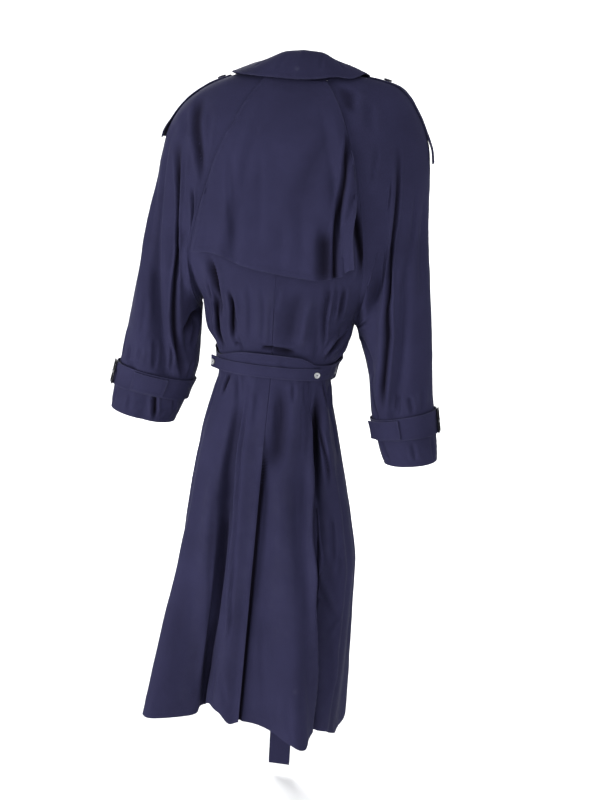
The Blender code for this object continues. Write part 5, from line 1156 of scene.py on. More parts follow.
def inset_line(surface, normals, distance, inset, rows=None):
    """Line at a distance from an edge of a grid: down the given rows, or along the grid."""
    if rows is None:
        surface, normals = surface.transpose(1, 0, 2), normals.transpose(1, 0, 2)
        distance, rows = distance.T, slice(None)
    line, across = [], []
    for row, normal, away in zip(surface[rows], normals[rows], distance[rows]):
        order = np.argsort(away)
        line.append([np.interp(inset, away[order], row[order, i]) for i in range(3)])
        across.append([np.interp(inset, away[order], normal[order, i]) for i in range(3)])
    return np.array(line), np.array(across)


def sew(where, grid, out, towards, *lines):
    """Keeps rows of stitches on the side of a piece that faces towards, to be made with the
    others. A line is a table of distances, the one that it keeps and the rows it runs down."""
    normal = grid_normals(grid, towards)
    surface = grid + (out + 0.2 * STITCH_THICK)[..., None] * normal
    stitch_lines[where] += [inset_line(surface, normal, *line) for line in lines]


def make_stitches(where):
    """All rows of stitches of one part of the coat as one mesh of short threads."""
    points, faces = [], []
    turn = np.linspace(0, 2 * math.pi, STITCH_SIDES, endpoint=False)
    last = len(STITCH_RINGS) - 1
    for line, normals in stitch_lines[where]:
        step = np.linalg.norm(np.diff(line, axis=0), axis=-1)
        run = np.concatenate([[0], np.cumsum(step)])
        at = (np.arange(int(run[-1] / STITCH_PITCH)) + 0.5) * STITCH_PITCH

        def along_line(values, shift=0.0):
            return np.stack([np.interp(at + shift, run, values[:, i]) for i in range(3)], -1)

        centre = along_line(line)
        ahead = unit(along_line(line, 0.001) - centre)
        up = along_line(normals)
        up = unit(up - np.sum(up * ahead, axis=-1, keepdims=True) * ahead)
        aside = np.cross(ahead, up)
        for k in range(len(at)):
            base = len(points)
            for along, fat, lift in STITCH_RINGS:
                middle = centre[k] + along * STITCH_LONG * ahead[k] + lift * STITCH_THICK * up[k]
                for angle in turn:
                    points.append(middle + fat * STITCH_THICK
                                  * (math.cos(angle) * up[k] + math.sin(angle) * aside[k]))
            for ring in range(last):
                for side in range(STITCH_SIDES):
                    a = base + ring * STITCH_SIDES + side
                    b = base + ring * STITCH_SIDES + (side + 1) % STITCH_SIDES
                    faces.append([a, b, b + STITCH_SIDES, a + STITCH_SIDES])
            faces.append([base + side for side in range(STITCH_SIDES)][::-1])
            faces.append([base + last * STITCH_SIDES + side for side in range(STITCH_SIDES)])
    placed(add_piece("stitches_" + where, points, faces, THREAD), "gabardine")


# ---------------------------------------------------------------- finishes
def nodes_of(name):
    """A new material's tree with its shader and the object's own coordinates."""
    made = bpy.data.materials.new(name)
    made.use_nodes = True
    tree = made.node_tree
    return made, tree, tree.nodes["Principled BSDF"], new(tree, "TexCoord").outputs["Object"]


def feed(tree, sockets, values):
    """Sets sockets to plain values, and links those that are given another node's output."""
    for key, value in values.items():
        if isinstance(value, bpy.types.NodeSocket):
            tree.links.new(value, sockets[key])
        else:
            sockets[key].default_value = value


def new(tree, kind, inputs=None, **settings):
    node = tree.nodes.new("ShaderNode" + kind)
    for key, value in settings.items():
        setattr(node, key, value)
    feed(tree, node.inputs, inputs or {})
    return node


def noise(tree, place, scale, **more):
    return new(tree, "TexNoise", {"Vector": place, "Scale": scale, **more}).outputs["Fac"]


def blend(tree, share, first, second, how="MIX"):
    node = new(tree, "Mix", data_type="RGBA", blend_type=how)
    feed(tree, node.inputs, {0: share, 6: first, 7: second})
    return node.outputs[2]


def combined(tree, how, first, second):
    return new(tree, "Math", {0: first, 1: second}, operation=how).outputs[0]


def mapped(tree, value, start, end, top):
    return new(tree, "MapRange", {"Value": value, "From Min": start, "From Max": end,
                                  "To Max": top}).outputs["Result"]


def bump(tree, height, strength, distance, **more):
    return new(tree, "Bump", {"Height": height, "Strength": strength, "Distance": distance,
                              **more}).outputs["Normal"]


def ramp(tree, value, *stops):
    """Grey that runs between the stops, each a value and its level."""
    node = new(tree, "ValToRGB", {"Fac": value})
    for element, (place, level) in zip(node.color_ramp.elements, stops):
        element.position = place
        element.color = (level, level, level, 1.0)
    return node.outputs["Color"]


# Places where the cloth is rubbed pale: the point, its radius and how pale it is.
SCUFFS = (((-0.001, 0.084, -0.014), 0.0065, 0.55), ((-0.104, 0.150, -1.137), 0.008, 0.50))
NAVY = (0.0190, 0.0184, 0.0430, 1.0)
NAVY_WORN = (0.056, 0.056, 0.088, 1.0)
# near-black colour of the painted shade deep in the folds and beside the vent
NAVY_PAINTED_SHADE = (0.0030, 0.0022, 0.0045, 1.0)


def gabardine():
    """Close twill in navy cotton: fine slanting ribs, slight unevenness of the dye, paler where edges
    and creases are worn, and painted shade, near black, deep in the folds and beside the vent."""
    made, tree, shader, place = nodes_of("navy gabardine")
    uv = new(tree, "UVMap", uv_map="cloth").outputs["UV"]
    rib = new(tree, "TexWave", {"Vector": uv, "Scale": 520.0, "Distortion": 0.6, "Detail": 1.0,
                                "Detail Scale": 1.5},
              wave_type="BANDS", bands_direction="DIAGONAL").outputs["Fac"]
    slub = noise(tree, uv, 900.0, Detail=2.0)
    dye = noise(tree, place, 7.0, Detail=4.0, Roughness=0.6)
    colour = blend(tree, 1.0, NAVY, ramp(tree, dye, (0.30, 0.86), (0.70, 1.14)), "MULTIPLY")
    speck = ramp(tree, slub, (0.25, 0.80), (0.75, 1.20))
    colour = blend(tree, 0.6, colour, blend(tree, 1.0, colour, speck, "MULTIPLY"))
    # layer of wear above zero and painted shade below zero
    worn = new(tree, "Attribute", attribute_name="wear_and_shade", attribute_type="GEOMETRY").outputs["Fac"]
    rubbed = ramp(tree, noise(tree, place, 60.0, Detail=3.0), (0.35, 0.15), (0.70, 1.0))
    share = combined(tree, "MULTIPLY", worn, rubbed)
    for centre, radius, pale in SCUFFS:
        away = new(tree, "VectorMath", {0: place, 1: centre}, operation="DISTANCE")
        near = mapped(tree, away.outputs["Value"], radius, 0.3 * radius, pale)
        share = combined(tree, "MAXIMUM", share, combined(tree, "MULTIPLY", near, rubbed))
    colour = blend(tree, share, colour, NAVY_WORN)
    # painted shade: cloth that lies deep in a fold is painted near black, standing in for the light
    # that the layers over it shut off
    colour = blend(tree, mapped(tree, worn, 0.0, -1.0, 0.93), colour, NAVY_PAINTED_SHADE)
    soft = noise(tree, place, 38.0, Detail=3.0, Roughness=0.55)
    feed(tree, shader.inputs, {
        "Base Color": colour, "Roughness": ramp(tree, dye, (0.30, 0.74), (0.70, 0.86)),
        "Normal": bump(tree, rib, 0.25, 0.0003, Normal=bump(tree, soft, 0.45, 0.0016)),
        "Sheen Weight": 0.02, "Sheen Roughness": 0.45, "Sheen Tint": (0.62, 0.66, 0.95, 1.0),
        "Specular IOR Level": 0.02})
    return made


def thread_finish():
    """Twisted polyester-and-cotton thread, one shade paler than the cloth."""
    made, tree, shader, place = nodes_of("navy thread")
    tone = ramp(tree, noise(tree, place, 900.0), (0.3, 0.75), (0.7, 1.25))
    feed(tree, shader.inputs, {
        "Base Color": blend(tree, 1.0, (0.0170, 0.0164, 0.039, 1.0), tone, "MULTIPLY"),
        "Roughness": 0.7, "Specular IOR Level": 0.05})
    return made


def button_finish(name, base, pale, gloss):
    """Polished button with a faint figure in it, like shell or horn."""
    made, tree, shader, place = nodes_of(name)
    figure = noise(tree, place, 260.0, Detail=4.0, Distortion=1.5)
    feed(tree, shader.inputs, {
        "Base Color": blend(tree, ramp(tree, figure, (0.35, 0.0), (0.65, 1.0)), base, pale),
        "Roughness": ramp(tree, figure, (0.3, gloss), (0.7, gloss + 0.12)),
        "Coat Weight": 0.3, "Coat Roughness": 0.15})
    return made


def leather_finish():
    """Dark leather pulled over the buckles: fine grain, worn paler in spots."""
    made, tree, shader, place = nodes_of("buckle leather")
    grain = new(tree, "TexVoronoi", {"Vector": place, "Scale": 1100.0}).outputs["Distance"]
    patch = noise(tree, place, 90.0, Detail=4.0)
    feed(tree, shader.inputs, {
        "Base Color": blend(tree, ramp(tree, patch, (0.55, 0.0), (0.80, 0.8)),
                            (0.005, 0.005, 0.008, 1.0), (0.016, 0.015, 0.021, 1.0)),
        "Roughness": ramp(tree, patch, (0.3, 0.62), (0.7, 0.80)),
        "Normal": bump(tree, grain, 0.3, 0.0003), "Specular IOR Level": 0.07})
    return made


def metal_finish():
    """Dark plated metal with fine scratches."""
    made, tree, shader, place = nodes_of("dark plated metal")
    scratch = noise(tree, place, 700.0, Detail=5.0)
    feed(tree, shader.inputs, {
        "Base Color": blend(tree, scratch, (0.10, 0.10, 0.11, 1.0), (0.17, 0.17, 0.18, 1.0)),
        "Roughness": ramp(tree, scratch, (0.3, 0.25), (0.7, 0.45)), "Metallic": 1.0})
    return made


NAVY_CLOTH = gabardine()
THREAD = thread_finish()
LIGHT_SHELL = button_finish("pale shell button", (0.26, 0.27, 0.27, 1.0),
                            (0.42, 0.42, 0.43, 1.0), 0.22)
DARK_HORN = button_finish("navy horn button", (0.014, 0.014, 0.028, 1.0),
                          (0.030, 0.028, 0.042, 1.0), 0.28)
LEATHER = leather_finish()
METAL = metal_finish()


# ---------------------------------------------------------------- body panels
FINE = 0.0060             # spacing of the cloth's points
# Places of the deepest creases across a panel or a sleeve half: middle, half-width, and how
# much closer the points stand there.
CROWDED = {
    ("back", "left"): [(0.27, 0.07, 1.6)],
    ("back", "right"): [(0.17, 0.04, 1.6), (0.50, 0.08, 1.8)],
    ("sleeve", "left"): [(0.38, 0.11, 1.8)],
    ("sleeve", "right"): [(0.45, 0.10, 1.8)],
}
GIRTH = 0.125             # metres of cloth for one radian about the body, at the hips
HEM_DEEP = 0.036          # width of the turned hem
VENT_DEEP = 0.025         # width of the turned edges of the vent
CUFF_DEEP = 0.030         # width of the turned cuff
FRONT_SEWN = 0.0075       # distance of the stitches from the edge of a front
EDGE_SEWN = 0.0065        # and from the edges of flap, collar, lapels and raglan seams
SOFT_WEAVE = 0.00035      # height of the soft unevenness of body and sleeves


def dense(values, step):
    """The values with evenly spaced ones put between them, no farther apart than step."""
    made = [values[0]]
    for low, high in zip(values[:-1], values[1:]):
        count = max(1, int(math.ceil(abs(high - low) / step)))
        made.extend(low + (high - low) * (k + 1) / count for k in range(count))
    return np.array(made)


def edge_shares(count, near=0.0015, wide=0.26, crowded=()):
    """Shares from 0 to 1 with two more close to each end, where seams and edges are drawn,
    and more of them at the crowded places."""
    t = np.linspace(0, 1, 1001)
    close = 1 + 0 * t
    for middle, half, more in crowded:
        close += more * np.exp(-((t - middle) / half) ** 2)
    run = np.concatenate([[0], np.cumsum((close[1:] + close[:-1]) / 2)])
    t = np.interp(np.linspace(0, run[-1], count), run, t)
    extra = np.array([near / wide, 2.4 * near / wide])
    return np.unique(np.concatenate([t, extra, 1 - extra]))


def strap_shares(count, near, wide):
    """Places from one edge of a strap (-1) to the other (1)."""
    return 2 * edge_shares(count, near=near, wide=wide) - 1


def edge_wear(pale, away, wide=0.0016):
    """How pale the cloth is rubbed along an edge."""
    return pale * np.exp(-(away / wide) ** 2)


def ridge_wear(folded):
    """How pale the cloth is rubbed on its raised creases."""
    return np.clip(folded / 0.0018, 0, 1) * 0.06


def columns_between(start, end, full, t):
    """Angles from start to end. Only the outer ones give way where end falls short of full."""
    return start + (full - start) * t - (full - end) * t ** 3


HEM_TRIM = table("at more", [
    (-180, 0), (-135, -0.004), (-120, -0.02), (-106, -0.04), (-92, -0.042), (-80, -0.028), (-70, -0.01),
    (-62, 0), (-52, 0.006), (-47, 0.018), (-41, 0.021), (-36, 0.012), (-30, 0.003), (-22, 0), (180, 0),
])


def panel_heights(side, half):
    top = NECK_BACK if half == "back" else NECK_FRONT
    hem = [HEM, HEM + 0.0015, HEM + 0.0036]
    seam = underarm(sign(side))
    return dense(hem + [HEM + 0.036, VENT_TOP, seam, top - 0.004, top - 0.0015, top], FINE)


def trimmed_height(z, a):
    """Height of a row, with what the hem's edge gives or takes after the panels are joined."""
    trim = smooth(np.degrees(a), HEM_TRIM["at"], HEM_TRIM["more"])
    return row_height(z, a) + trim * ease((-1.08 - z) / 0.13)


def vent_opened(z):
    """Share of its full width that the right panel's lap has below the top of the vent."""
    return ease((VENT_TOP + 0.006 - z) / 0.090)


def back_panel(side):
    """Angles and heights of a back panel's points, and how far its lap moves in."""
    rows = []
    shares = edge_shares(112, crowded=CROWDED["back", side])
    for z in panel_heights(side, "back"):
        centre = sign(side) * 0.5 * SEAM / body_sizes(z)[2]
        if side == "right":
            centre += float(vent_opened(z)) * VENT_LAP / float(body_sizes(z)[2])
        a = columns_between(centre, outer_angle(side, "back", z), full_angle(side, "back", z),
                            shares)
        lap = -vent_lap(a, z) if side == "right" else 0.0 * a
        rows.append((a, trimmed_height(z, a), lap))
    return [np.array(part) for part in zip(*rows)]


def front_panel(side):
    """The same for a front panel, from its free edge to the side seam."""
    rows = []
    shares = edge_shares(108, wide=0.22)
    for z in panel_heights(side, "front"):
        edge = float(body_angle(float(roll_x(side, z)), z, back=False))
        if edge * sign(side) < 0:
            edge += sign(side) * 2 * math.pi
        a = columns_between(edge, outer_angle(side, "front", z), full_angle(side, "front", z),
                            shares)
        wrapped = (a + math.pi) % (2 * math.pi) - math.pi
        rows.append((a, trimmed_height(z, wrapped), front_lap(wrapped, z) * sign(side)))
    return [np.array(part) for part in zip(*rows)]


def body_relief(a, z):
    """Creases and small unevenness of the body's cloth, pressed flat by the belt, and the painted shade
    deep in its creases.
    """
    degrees = (np.degrees(a) + 180.0) % 360.0 - 180.0
    out, inside = relief(BODY_CREASES, degrees, z, np.radians(1.0) * body_girth(a, z))
    grip = np.exp(-((z - WAIST) / (BELT_GRIP + 0.002)) ** 4)
    return CREASE_DEPTH * out * (1 - grip), inside


def make_panel(side, half, covers):
    """One of the body's four panels, kept clear of the pieces that cover it."""
    a, z, lap = back_panel(side) if half == "back" else front_panel(side)
    grid = body_lifted(a, z, lap)
    near, far, low, high = edge_distances(grid)
    sewn = ease(far / 0.014) * ease(high / 0.012)
    folded, inside = body_relief(a, z)
    out = folded * np.where(z > underarm(sign(side)), sewn, 1.0)
    out += SOFT_WEAVE * hand_worn(grid, 0.060, 3) * ease(far / 0.01)
    out += groove(far, 0.0013, 0.00012) + puckers(far, low, 0.00012)
    out += turned_hem(low, near, HEM_DEEP, 0.0002)
    out += groove(high)
    free = near
    if half == "back":
        closed = ease((z - VENT_TOP) / 0.004)
        out += closed * (groove(near, 0.0014, 0.0002) + puckers(near, low, 0.00015))
        out += (1 - closed) * turned_hem(near, low, VENT_DEEP, 0.0002)
        # at the vent the left edge stands off a little and the right one lies flat below it, with a
        # painted shadow on the right one just past the left edge
        if side == "left":
            out += (1 - closed) * 0.0040 * np.exp(-(near / 0.007) ** 2)
        else:
            past = -grid[..., 0] - 0.0012
            beside = ease((VENT_TOP + 0.004 - z) / 0.060)
            out -= beside * 0.0075 * np.exp(-(past / 0.0036) ** 2)
            # painted shadow on the right panel, in a narrow band just past the left panel's edge
            dark = ease((VENT_TOP - z) / 0.040) * np.exp(-(past / 0.0044) ** 4)
            inside = np.maximum(inside, dark)
        free = np.where(z > VENT_TOP, 1.0, near)
    else:
        out += turned_hem(near, low, FRONT_SEWN, 0.0004)
    wear_and_shade = edge_wear(0.14, np.minimum(low, free)) + ridge_wear(folded)
    uv = np.stack([a * GIRTH, z], axis=-1)
    middle = grid.mean(axis=(0, 1)) * (0, 0, 1)
    out = fitted_under(grid, out, middle, covers)
    if half == "front":
        sew("body", grid, out, grid * (1, 1, 0), (near, FRONT_SEWN, slice(8, None)))
    elif side == "left":
        below = slice(8, int(np.argmin(np.abs(z[:, 0] - VENT_TOP))))
        sew("body", grid, out, grid * (1, 1, 0), (near, VENT_DEEP, below))
    # the panel carries the painted shade deep in its creases and beside the vent
    return cloth("%s_%s" % (half, side), grid, out, WALL, uv, wear_and_shade, centre=middle, inside=inside)


# ---------------------------------------------------------------- sleeves
def ring_metres(side, ring):
    """Distance of a ring from the neck, along the middle of the sleeve."""
    sizes = SLEEVES[side]
    x = (sizes["top_x"] + sizes["low_x"]) / 2
    z = (sizes["top_z"] + sizes["low_z"]) / 2
    run = np.concatenate([[0], np.cumsum(np.hypot(np.diff(x), np.diff(z)))])
    return np.interp(ring, np.arange(len(run)), run)


def sleeve_relief(side, turn, ring):
    rows = [(half, depth, lean, *((u, ring_metres(side, v)) for u, v in places))
            for half, depth, lean, *places in SLEEVE_CREASES[side]]
    out, inside = relief(rows, turn, ring_metres(side, ring), half_girth(side, ring))
    free = 1 - cuff_grip(side, ring)
    # painted shade deep in the creases, none under the cuff strap
    return CREASE_DEPTH * out * free, inside * free


UNDERARM_RING = {"left": 5.55, "right": 5.90}


def eased_underarm(side, grid, rings):
    """The sleeve's rings about the underarm made to follow one another smoothly."""
    near = edge_distances(grid)[0]
    soft = 0.5 * np.exp(-((rings - UNDERARM_RING[side]) / 1.1) ** 2)[:, None] * ease(near / 0.04)
    for _ in range(70):
        between = (grid[:-2] + grid[2:]) / 2
        grid[1:-1] += soft[1:-1, :, None] * (between - grid[1:-1])
    return grid


def make_sleeve(side, half, covers):
    """One half of a sleeve, kept clear of the pieces that cover it."""
    last = last_ring(side)
    towards = 1 if half == "back" else -1
    turns = towards * edge_shares(98, wide=0.24, crowded=CROWDED["sleeve", side])
    rings = dense([0.0, 0.03, 0.08] + list(np.arange(1.0, last)) + [last - 0.06, last], 0.095)
    turn, ring = np.meshgrid(turns, rings)
    grid = sleeve_lifted(side, turn, ring, 0.0 * turn)
    grid[0] += SEAM * unit(grid[1] - grid[0])
    grid[:, [0, -1], 1] += 0.5 * SEAM * towards
    grid = eased_underarm(side, grid, rings)
    near, far, top, low = edge_distances(grid)
    folded, inside = sleeve_relief(side, turn, ring)
    out = folded * ease(top / 0.014) * ease(near / 0.004) * ease(far / 0.004)
    out += SOFT_WEAVE * hand_worn(grid, 0.060, 5) * ease(top / 0.01)
    out += groove(top, 0.0014, 0.00015) + groove(near) + groove(far)
    out += puckers(top, near, 0.0002) + puckers(far, top, 0.0002)
    out += turned_hem(low, near, CUFF_DEEP, 0.0002)
    uv = np.stack([sign(side) * turn * 0.22, -ring_metres(side, ring)], axis=-1)
    centre = np.array([[(r[0] + r[2]) / 2 * sign(side), 0.0, (r[1] + r[3]) / 2]
                       for r in zip(*sleeve_rows(side, rings)[:4])])[:, None, :]
    out = fitted_under(grid, out, centre, covers)
    sew("sleeves", grid, out, grid - centre, (top, EDGE_SEWN))
    # the sleeve carries the painted shade deep in its creases
    return cloth("sleeve_%s_%s" % (side, half), grid, out, WALL, uv,
                 edge_wear(0.14, low) + ridge_wear(folded), centre=centre, inside=inside)


# ---------------------------------------------------------------- flap, collar and lapels
# How much shorter the flap's cloth hangs at each share of its width, where it is drawn up.
FLAP_SHORT = table("at by", [
    (0, 0.012), (0.07, 0.018), (0.17, 0.032), (0.255, 0.042), (0.3, 0.028), (0.33, 0.022), (0.4, 0.021),
    (0.51, 0.018), (0.65, 0.015), (0.75, 0.014), (0.86, 0.022), (1, 0.034),
])


def make_flap():
    """The storm flap over the shoulder blades, free at its sides and its hem."""
    share, down = np.meshgrid(edge_shares(86, wide=0.30), edge_shares(92, wide=0.34))
    shorter = smooth(share, FLAP_SHORT["at"], FLAP_SHORT["by"]) * down ** 3
    narrower = 0.066 * ease((share - 0.70) / 0.30) * ease((down - 0.45) / 0.40)
    narrower = narrower - 0.040 * ease((0.25 - share) / 0.25) * ease((down - 0.55) / 0.40)
    grid = flap_point(share - narrower, down - shorter)
    near, far, top, low = edge_distances(grid)
    across = near[:, -1:].mean()
    folded, inside = relief(FLAP_CREASES, share, down, across, 0.33)
    out = folded * ease(top / 0.02)
    out += 0.0004 * hand_worn(grid, 0.070, 7) * ease(top / 0.02)
    out += turned_hem(low, near, 0.009, 0.0004) + turned_hem(near, top, 0.007, 0.00015)
    out += turned_hem(far, top, 0.007, 0.00015)
    # the lower corner on the wearer's right stands away from the sleeve
    out += 0.0090 * ease((share - 0.87) / 0.13) * ease((down - 0.55) / 0.30)
    uv = np.stack([(0.5 - share) * 0.30, grid[..., 2]], axis=-1)
    sides = slice(4, None)
    sew("trim", grid, out, (0, 1, 0), (low, 0.0085), (near, EDGE_SEWN, sides),
        (far, EDGE_SEWN, sides))
    # the flap carries the painted shade deep in its creases
    return cloth("storm_flap", grid, out, WALL, uv,
                 edge_wear(0.14, np.minimum(low, np.minimum(near, far))),
                 centre=np.array([0, -1.0, -0.2]), inside=inside * ease(top / 0.02))


COLLAR_CREASES = [
    (0.006, 0.0014, 0, (-30, 0.2), (-26, 0.85)), (0.007, 0.0014, 0, (18, 0.3), (22, 0.95)),
    (0.006, 0.0018, 0, (52, 0.15), (58, 0.8)), (0.006, 0.0016, 0, (78, 0.25), (86, 0.9)),
    (0.006, 0.0018, 0, (-56, 0.15), (-64, 0.8)), (0.006, 0.0016, 0, (-84, 0.2), (-90, 0.9)),
    (0.007, 0.0016, 0, (104, 0.1), (116, 0.75)), (0.007, 0.0016, 0, (-108, 0.1), (-118, 0.8)),
]


def make_collar():
    """The turned collar and the stand inside the neck."""
    turns = dense([-COLLAR_END, -COLLAR_END + 1.0, COLLAR_END - 1.0, COLLAR_END], 1.9)
    neck, roll, edge = collar_frame(turns)
    away = edge - roll
    away = unit(away * (1, 1, 0))
    up = np.array([0, 0, 1.0])
    crown = roll + COLLAR_CROWN[0] * np.linalg.norm(edge - roll, axis=-1, keepdims=True) * away
    crown[:, 2] -= COLLAR_CROWN[1] * (roll[:, 2] - edge[:, 2])
    rows, shares = [], []
    for angle in (80, 50, 25):
        tuck = math.radians(angle)
        rows.append(roll - 0.0022 * math.sin(tuck) * away - 0.0018 * (1 - math.cos(tuck)) * up)
        shares.append(0.0)
    for t in edge_shares(22, wide=0.075):
        raised = 0.09 * np.exp(-(turns / 62.0) ** 4) + 0.11 * np.exp(-((turns + 52) / 24.0) ** 2)
        s = (t * (1 - raised))[:, None]
        rows.append(roll * (1 - s) ** 2 + crown * 2 * s * (1 - s) + edge * s * s)
        shares.append(t)
    grid = np.array(rows)
    share = np.array(shares)[:, None] + 0 * turns
    near, far, top, low = edge_distances(grid)
    reach = np.linalg.norm(edge - roll, axis=-1).mean()
    girth = near[-1, -1] / np.ptp(turns)
    out, _ = relief(COLLAR_CREASES, turns + 0 * share, share, girth, reach)
    ends = ease(near / 0.01) * ease(far / 0.01)
    out = out * ends + 0.0003 * hand_worn(grid, 0.05, 9) * ease(share / 0.2) * ends
    out += turned_hem(low, near, EDGE_SEWN, 0.0004)
    wear_and_shade = edge_wear(0.16, np.minimum(low, np.minimum(near, far)), 0.0018)
    wear_and_shade += edge_wear(0.12, top - 0.004, 0.004)
    uv = np.stack([turns * girth + 0 * share, -top], axis=-1)
    ends = slice(6, None)
    sew("trim", grid, out, (0, 0, 1), (low, EDGE_SEWN), (near, EDGE_SEWN, ends),
        (far, EDGE_SEWN, ends))
    fall = cloth("collar_fall", grid, out, DOUBLE, uv, wear_and_shade, centre=np.array([0, 0, -0.4]))
    foot = neck + up * 2.0 * SEAM
    head = roll - up * (DOUBLE + 2 * REST) - 0.5 * STAND_IN * away
    middle = (foot + head) / 2 - 0.5 * STAND_IN * away
    grid = np.array([foot * (1 - t) * (1 - 2 * t) + middle * 4 * t * (1 - t)
                     + head * t * (2 * t - 1) for t in np.linspace(0, 1, 9)])
    low = edge_distances(grid)[2]
    out = groove(low, 0.002, 0.0004) + 0.0002 * hand_worn(grid, 0.04, 11)
    uv = np.stack([turns * girth + 0 * low, low], axis=-1)
    cloth("collar_stand", grid, out, WALL, uv)
    return fall


def make_lapel(side):
    """A lapel, turned back along the roll line and pressed on its front."""
    foot = BREAK + 0.012
    rows = []
    shares = edge_shares(42, wide=0.20)
    for q_row in LAPEL_ENDS[side] + (1 - LAPEL_ENDS[side]) * edge_shares(64, wide=0.26):
        free_x = sign(side) * (-FRONT_LAP + (LAPEL_TIP[0] + FRONT_LAP) * q_row)
        free_z = foot + (LAPEL_TIP[1] - foot) * q_row ** 0.95
        roll_z = foot + (NECK_FRONT - 0.008 - foot) * q_row
        if side == "right":
            roll_z = max(roll_z, -0.222)
        start = float(roll_x(side, roll_z)) + sign(side) * 0.002
        t = shares
        if side == "right":
            tries = np.linspace(0, 1, 401)
            edge = roll_x("left", roll_z + (free_z - roll_z) * tries) - LAPEL_CROSS
            clear = tries[start + (free_x - start) * tries <= edge]
            if len(clear) < 12:
                continue
            t = clear.min() + (clear.max() - clear.min()) * shares
        x = start + (free_x - start) * t
        z = roll_z + (free_z - roll_z) * t
        out = REST + DOUBLE + 0.004 * np.sin(math.pi * t) * q_row + 0.004 * t * q_row
        rows.append(on_front(side, x, z, out))
    grid = np.array(rows)
    near, far, low, high = edge_distances(grid)
    out = 0.0004 * hand_worn(grid, 0.06, 13) * ease(far / 0.01)
    out += turned_hem(far, low, EDGE_SEWN, 0.0004) + turned_hem(high, near, EDGE_SEWN, 0.0003)
    wear_and_shade = edge_wear(0.35, np.minimum(far, high), 0.0018) + edge_wear(0.2, near, 0.004)
    uv = np.stack([near, low], axis=-1)
    sew("trim", grid, out, (0, -1, 0), (far, EDGE_SEWN, slice(None)), (high, EDGE_SEWN))
    return cloth("lapel_" + side, grid, out, DOUBLE, uv, wear_and_shade, centre=np.array([0, 1.0, -0.25]))


# ---------------------------------------------------------------- straps
BELT_ROWS = (0.0035, 0.0115, 0.0195)   # rows of stitches, from each edge of the belt
END_SEWN = 0.0045         # and from the ends of a strap
SPREAD = 0.0009           # distance of a strap's second row of points from its edge


def strap(node, grid, centre, seed, rows_sewn=(0.004,), sewn_ends=True, ring=False,
          thick=DOUBLE, more=0.0):
    """A flat strap, its rows running along it: turned edges, rows of stitches, soft dents."""
    joined = np.concatenate([grid, grid[:, :1]], axis=1) if ring else grid
    near, far, low, high = edge_distances(joined)
    out = 0.00025 * hand_worn(joined, 0.030, seed) + more
    side = np.minimum(low, high)
    for inset in rows_sewn:
        out += groove(side - inset, 0.0013, 0.00020)
    lines = [(edge, inset) for inset in rows_sewn for edge in (low, high)]
    if sewn_ends and not ring:
        out += groove(np.minimum(near, far) - END_SEWN, 0.0013, 0.0003)
        lines += [(edge, END_SEWN, slice(2, -2)) for edge in (near, far)]
    out -= 0.0005 * np.exp(-(side / 0.0009) ** 2)
    wear_and_shade = edge_wear(0.18, side if ring else np.minimum(side, np.minimum(near, far)))
    uv = np.stack([near, low], axis=-1)
    sew("trim", joined, out, joined - centre, *lines)
    count = grid.shape[1]
    return cloth(node, grid, out[:, :count], thick, uv, wear_and_shade[:, :count], ring=ring,
                 centre=centre)


BELT_CREASES = [
    (0.005, 0.0012, 0, (1.3, -0.8), (1.22, 0.7)), (0.006, 0.0014, 0, (0.8, 0.8), (0.86, -0.5)),
    (0.006, 0.0012, 0, (0.3, -0.6), (0.36, 0.9)), (0.007, 0.0014, 0, (-0.22, 0.9), (-0.14, -0.4)),
    (0.005, 0.0014, 0, (-0.66, -0.9), (-0.74, 0.5)), (0.005, 0.0012, 0, (-1.2, 0.8), (-1.26, -0.7)),
    (0.005, 0.0012, 0, (2.3, -0.8), (2.24, 0.7)), (0.006, 0.0012, 0, (-2.2, 0.8), (-2.28, -0.7)),
]


# How far the belt's upper edge sags at each angle, where the cloth bunches over it.
BELT_SLACK = table("at down", [
    (-180, 0), (-130, 0), (-100, 0.005), (-75, 0.014), (-60, 0.017), (-42, 0.016), (-31, 0.008),
    (-21, 0.002), (0, 0), (20, 0.001), (30, 0.004), (46, 0.011), (60, 0.016), (76, 0.015), (98, 0.005),
    (130, 0), (180, 0),
])


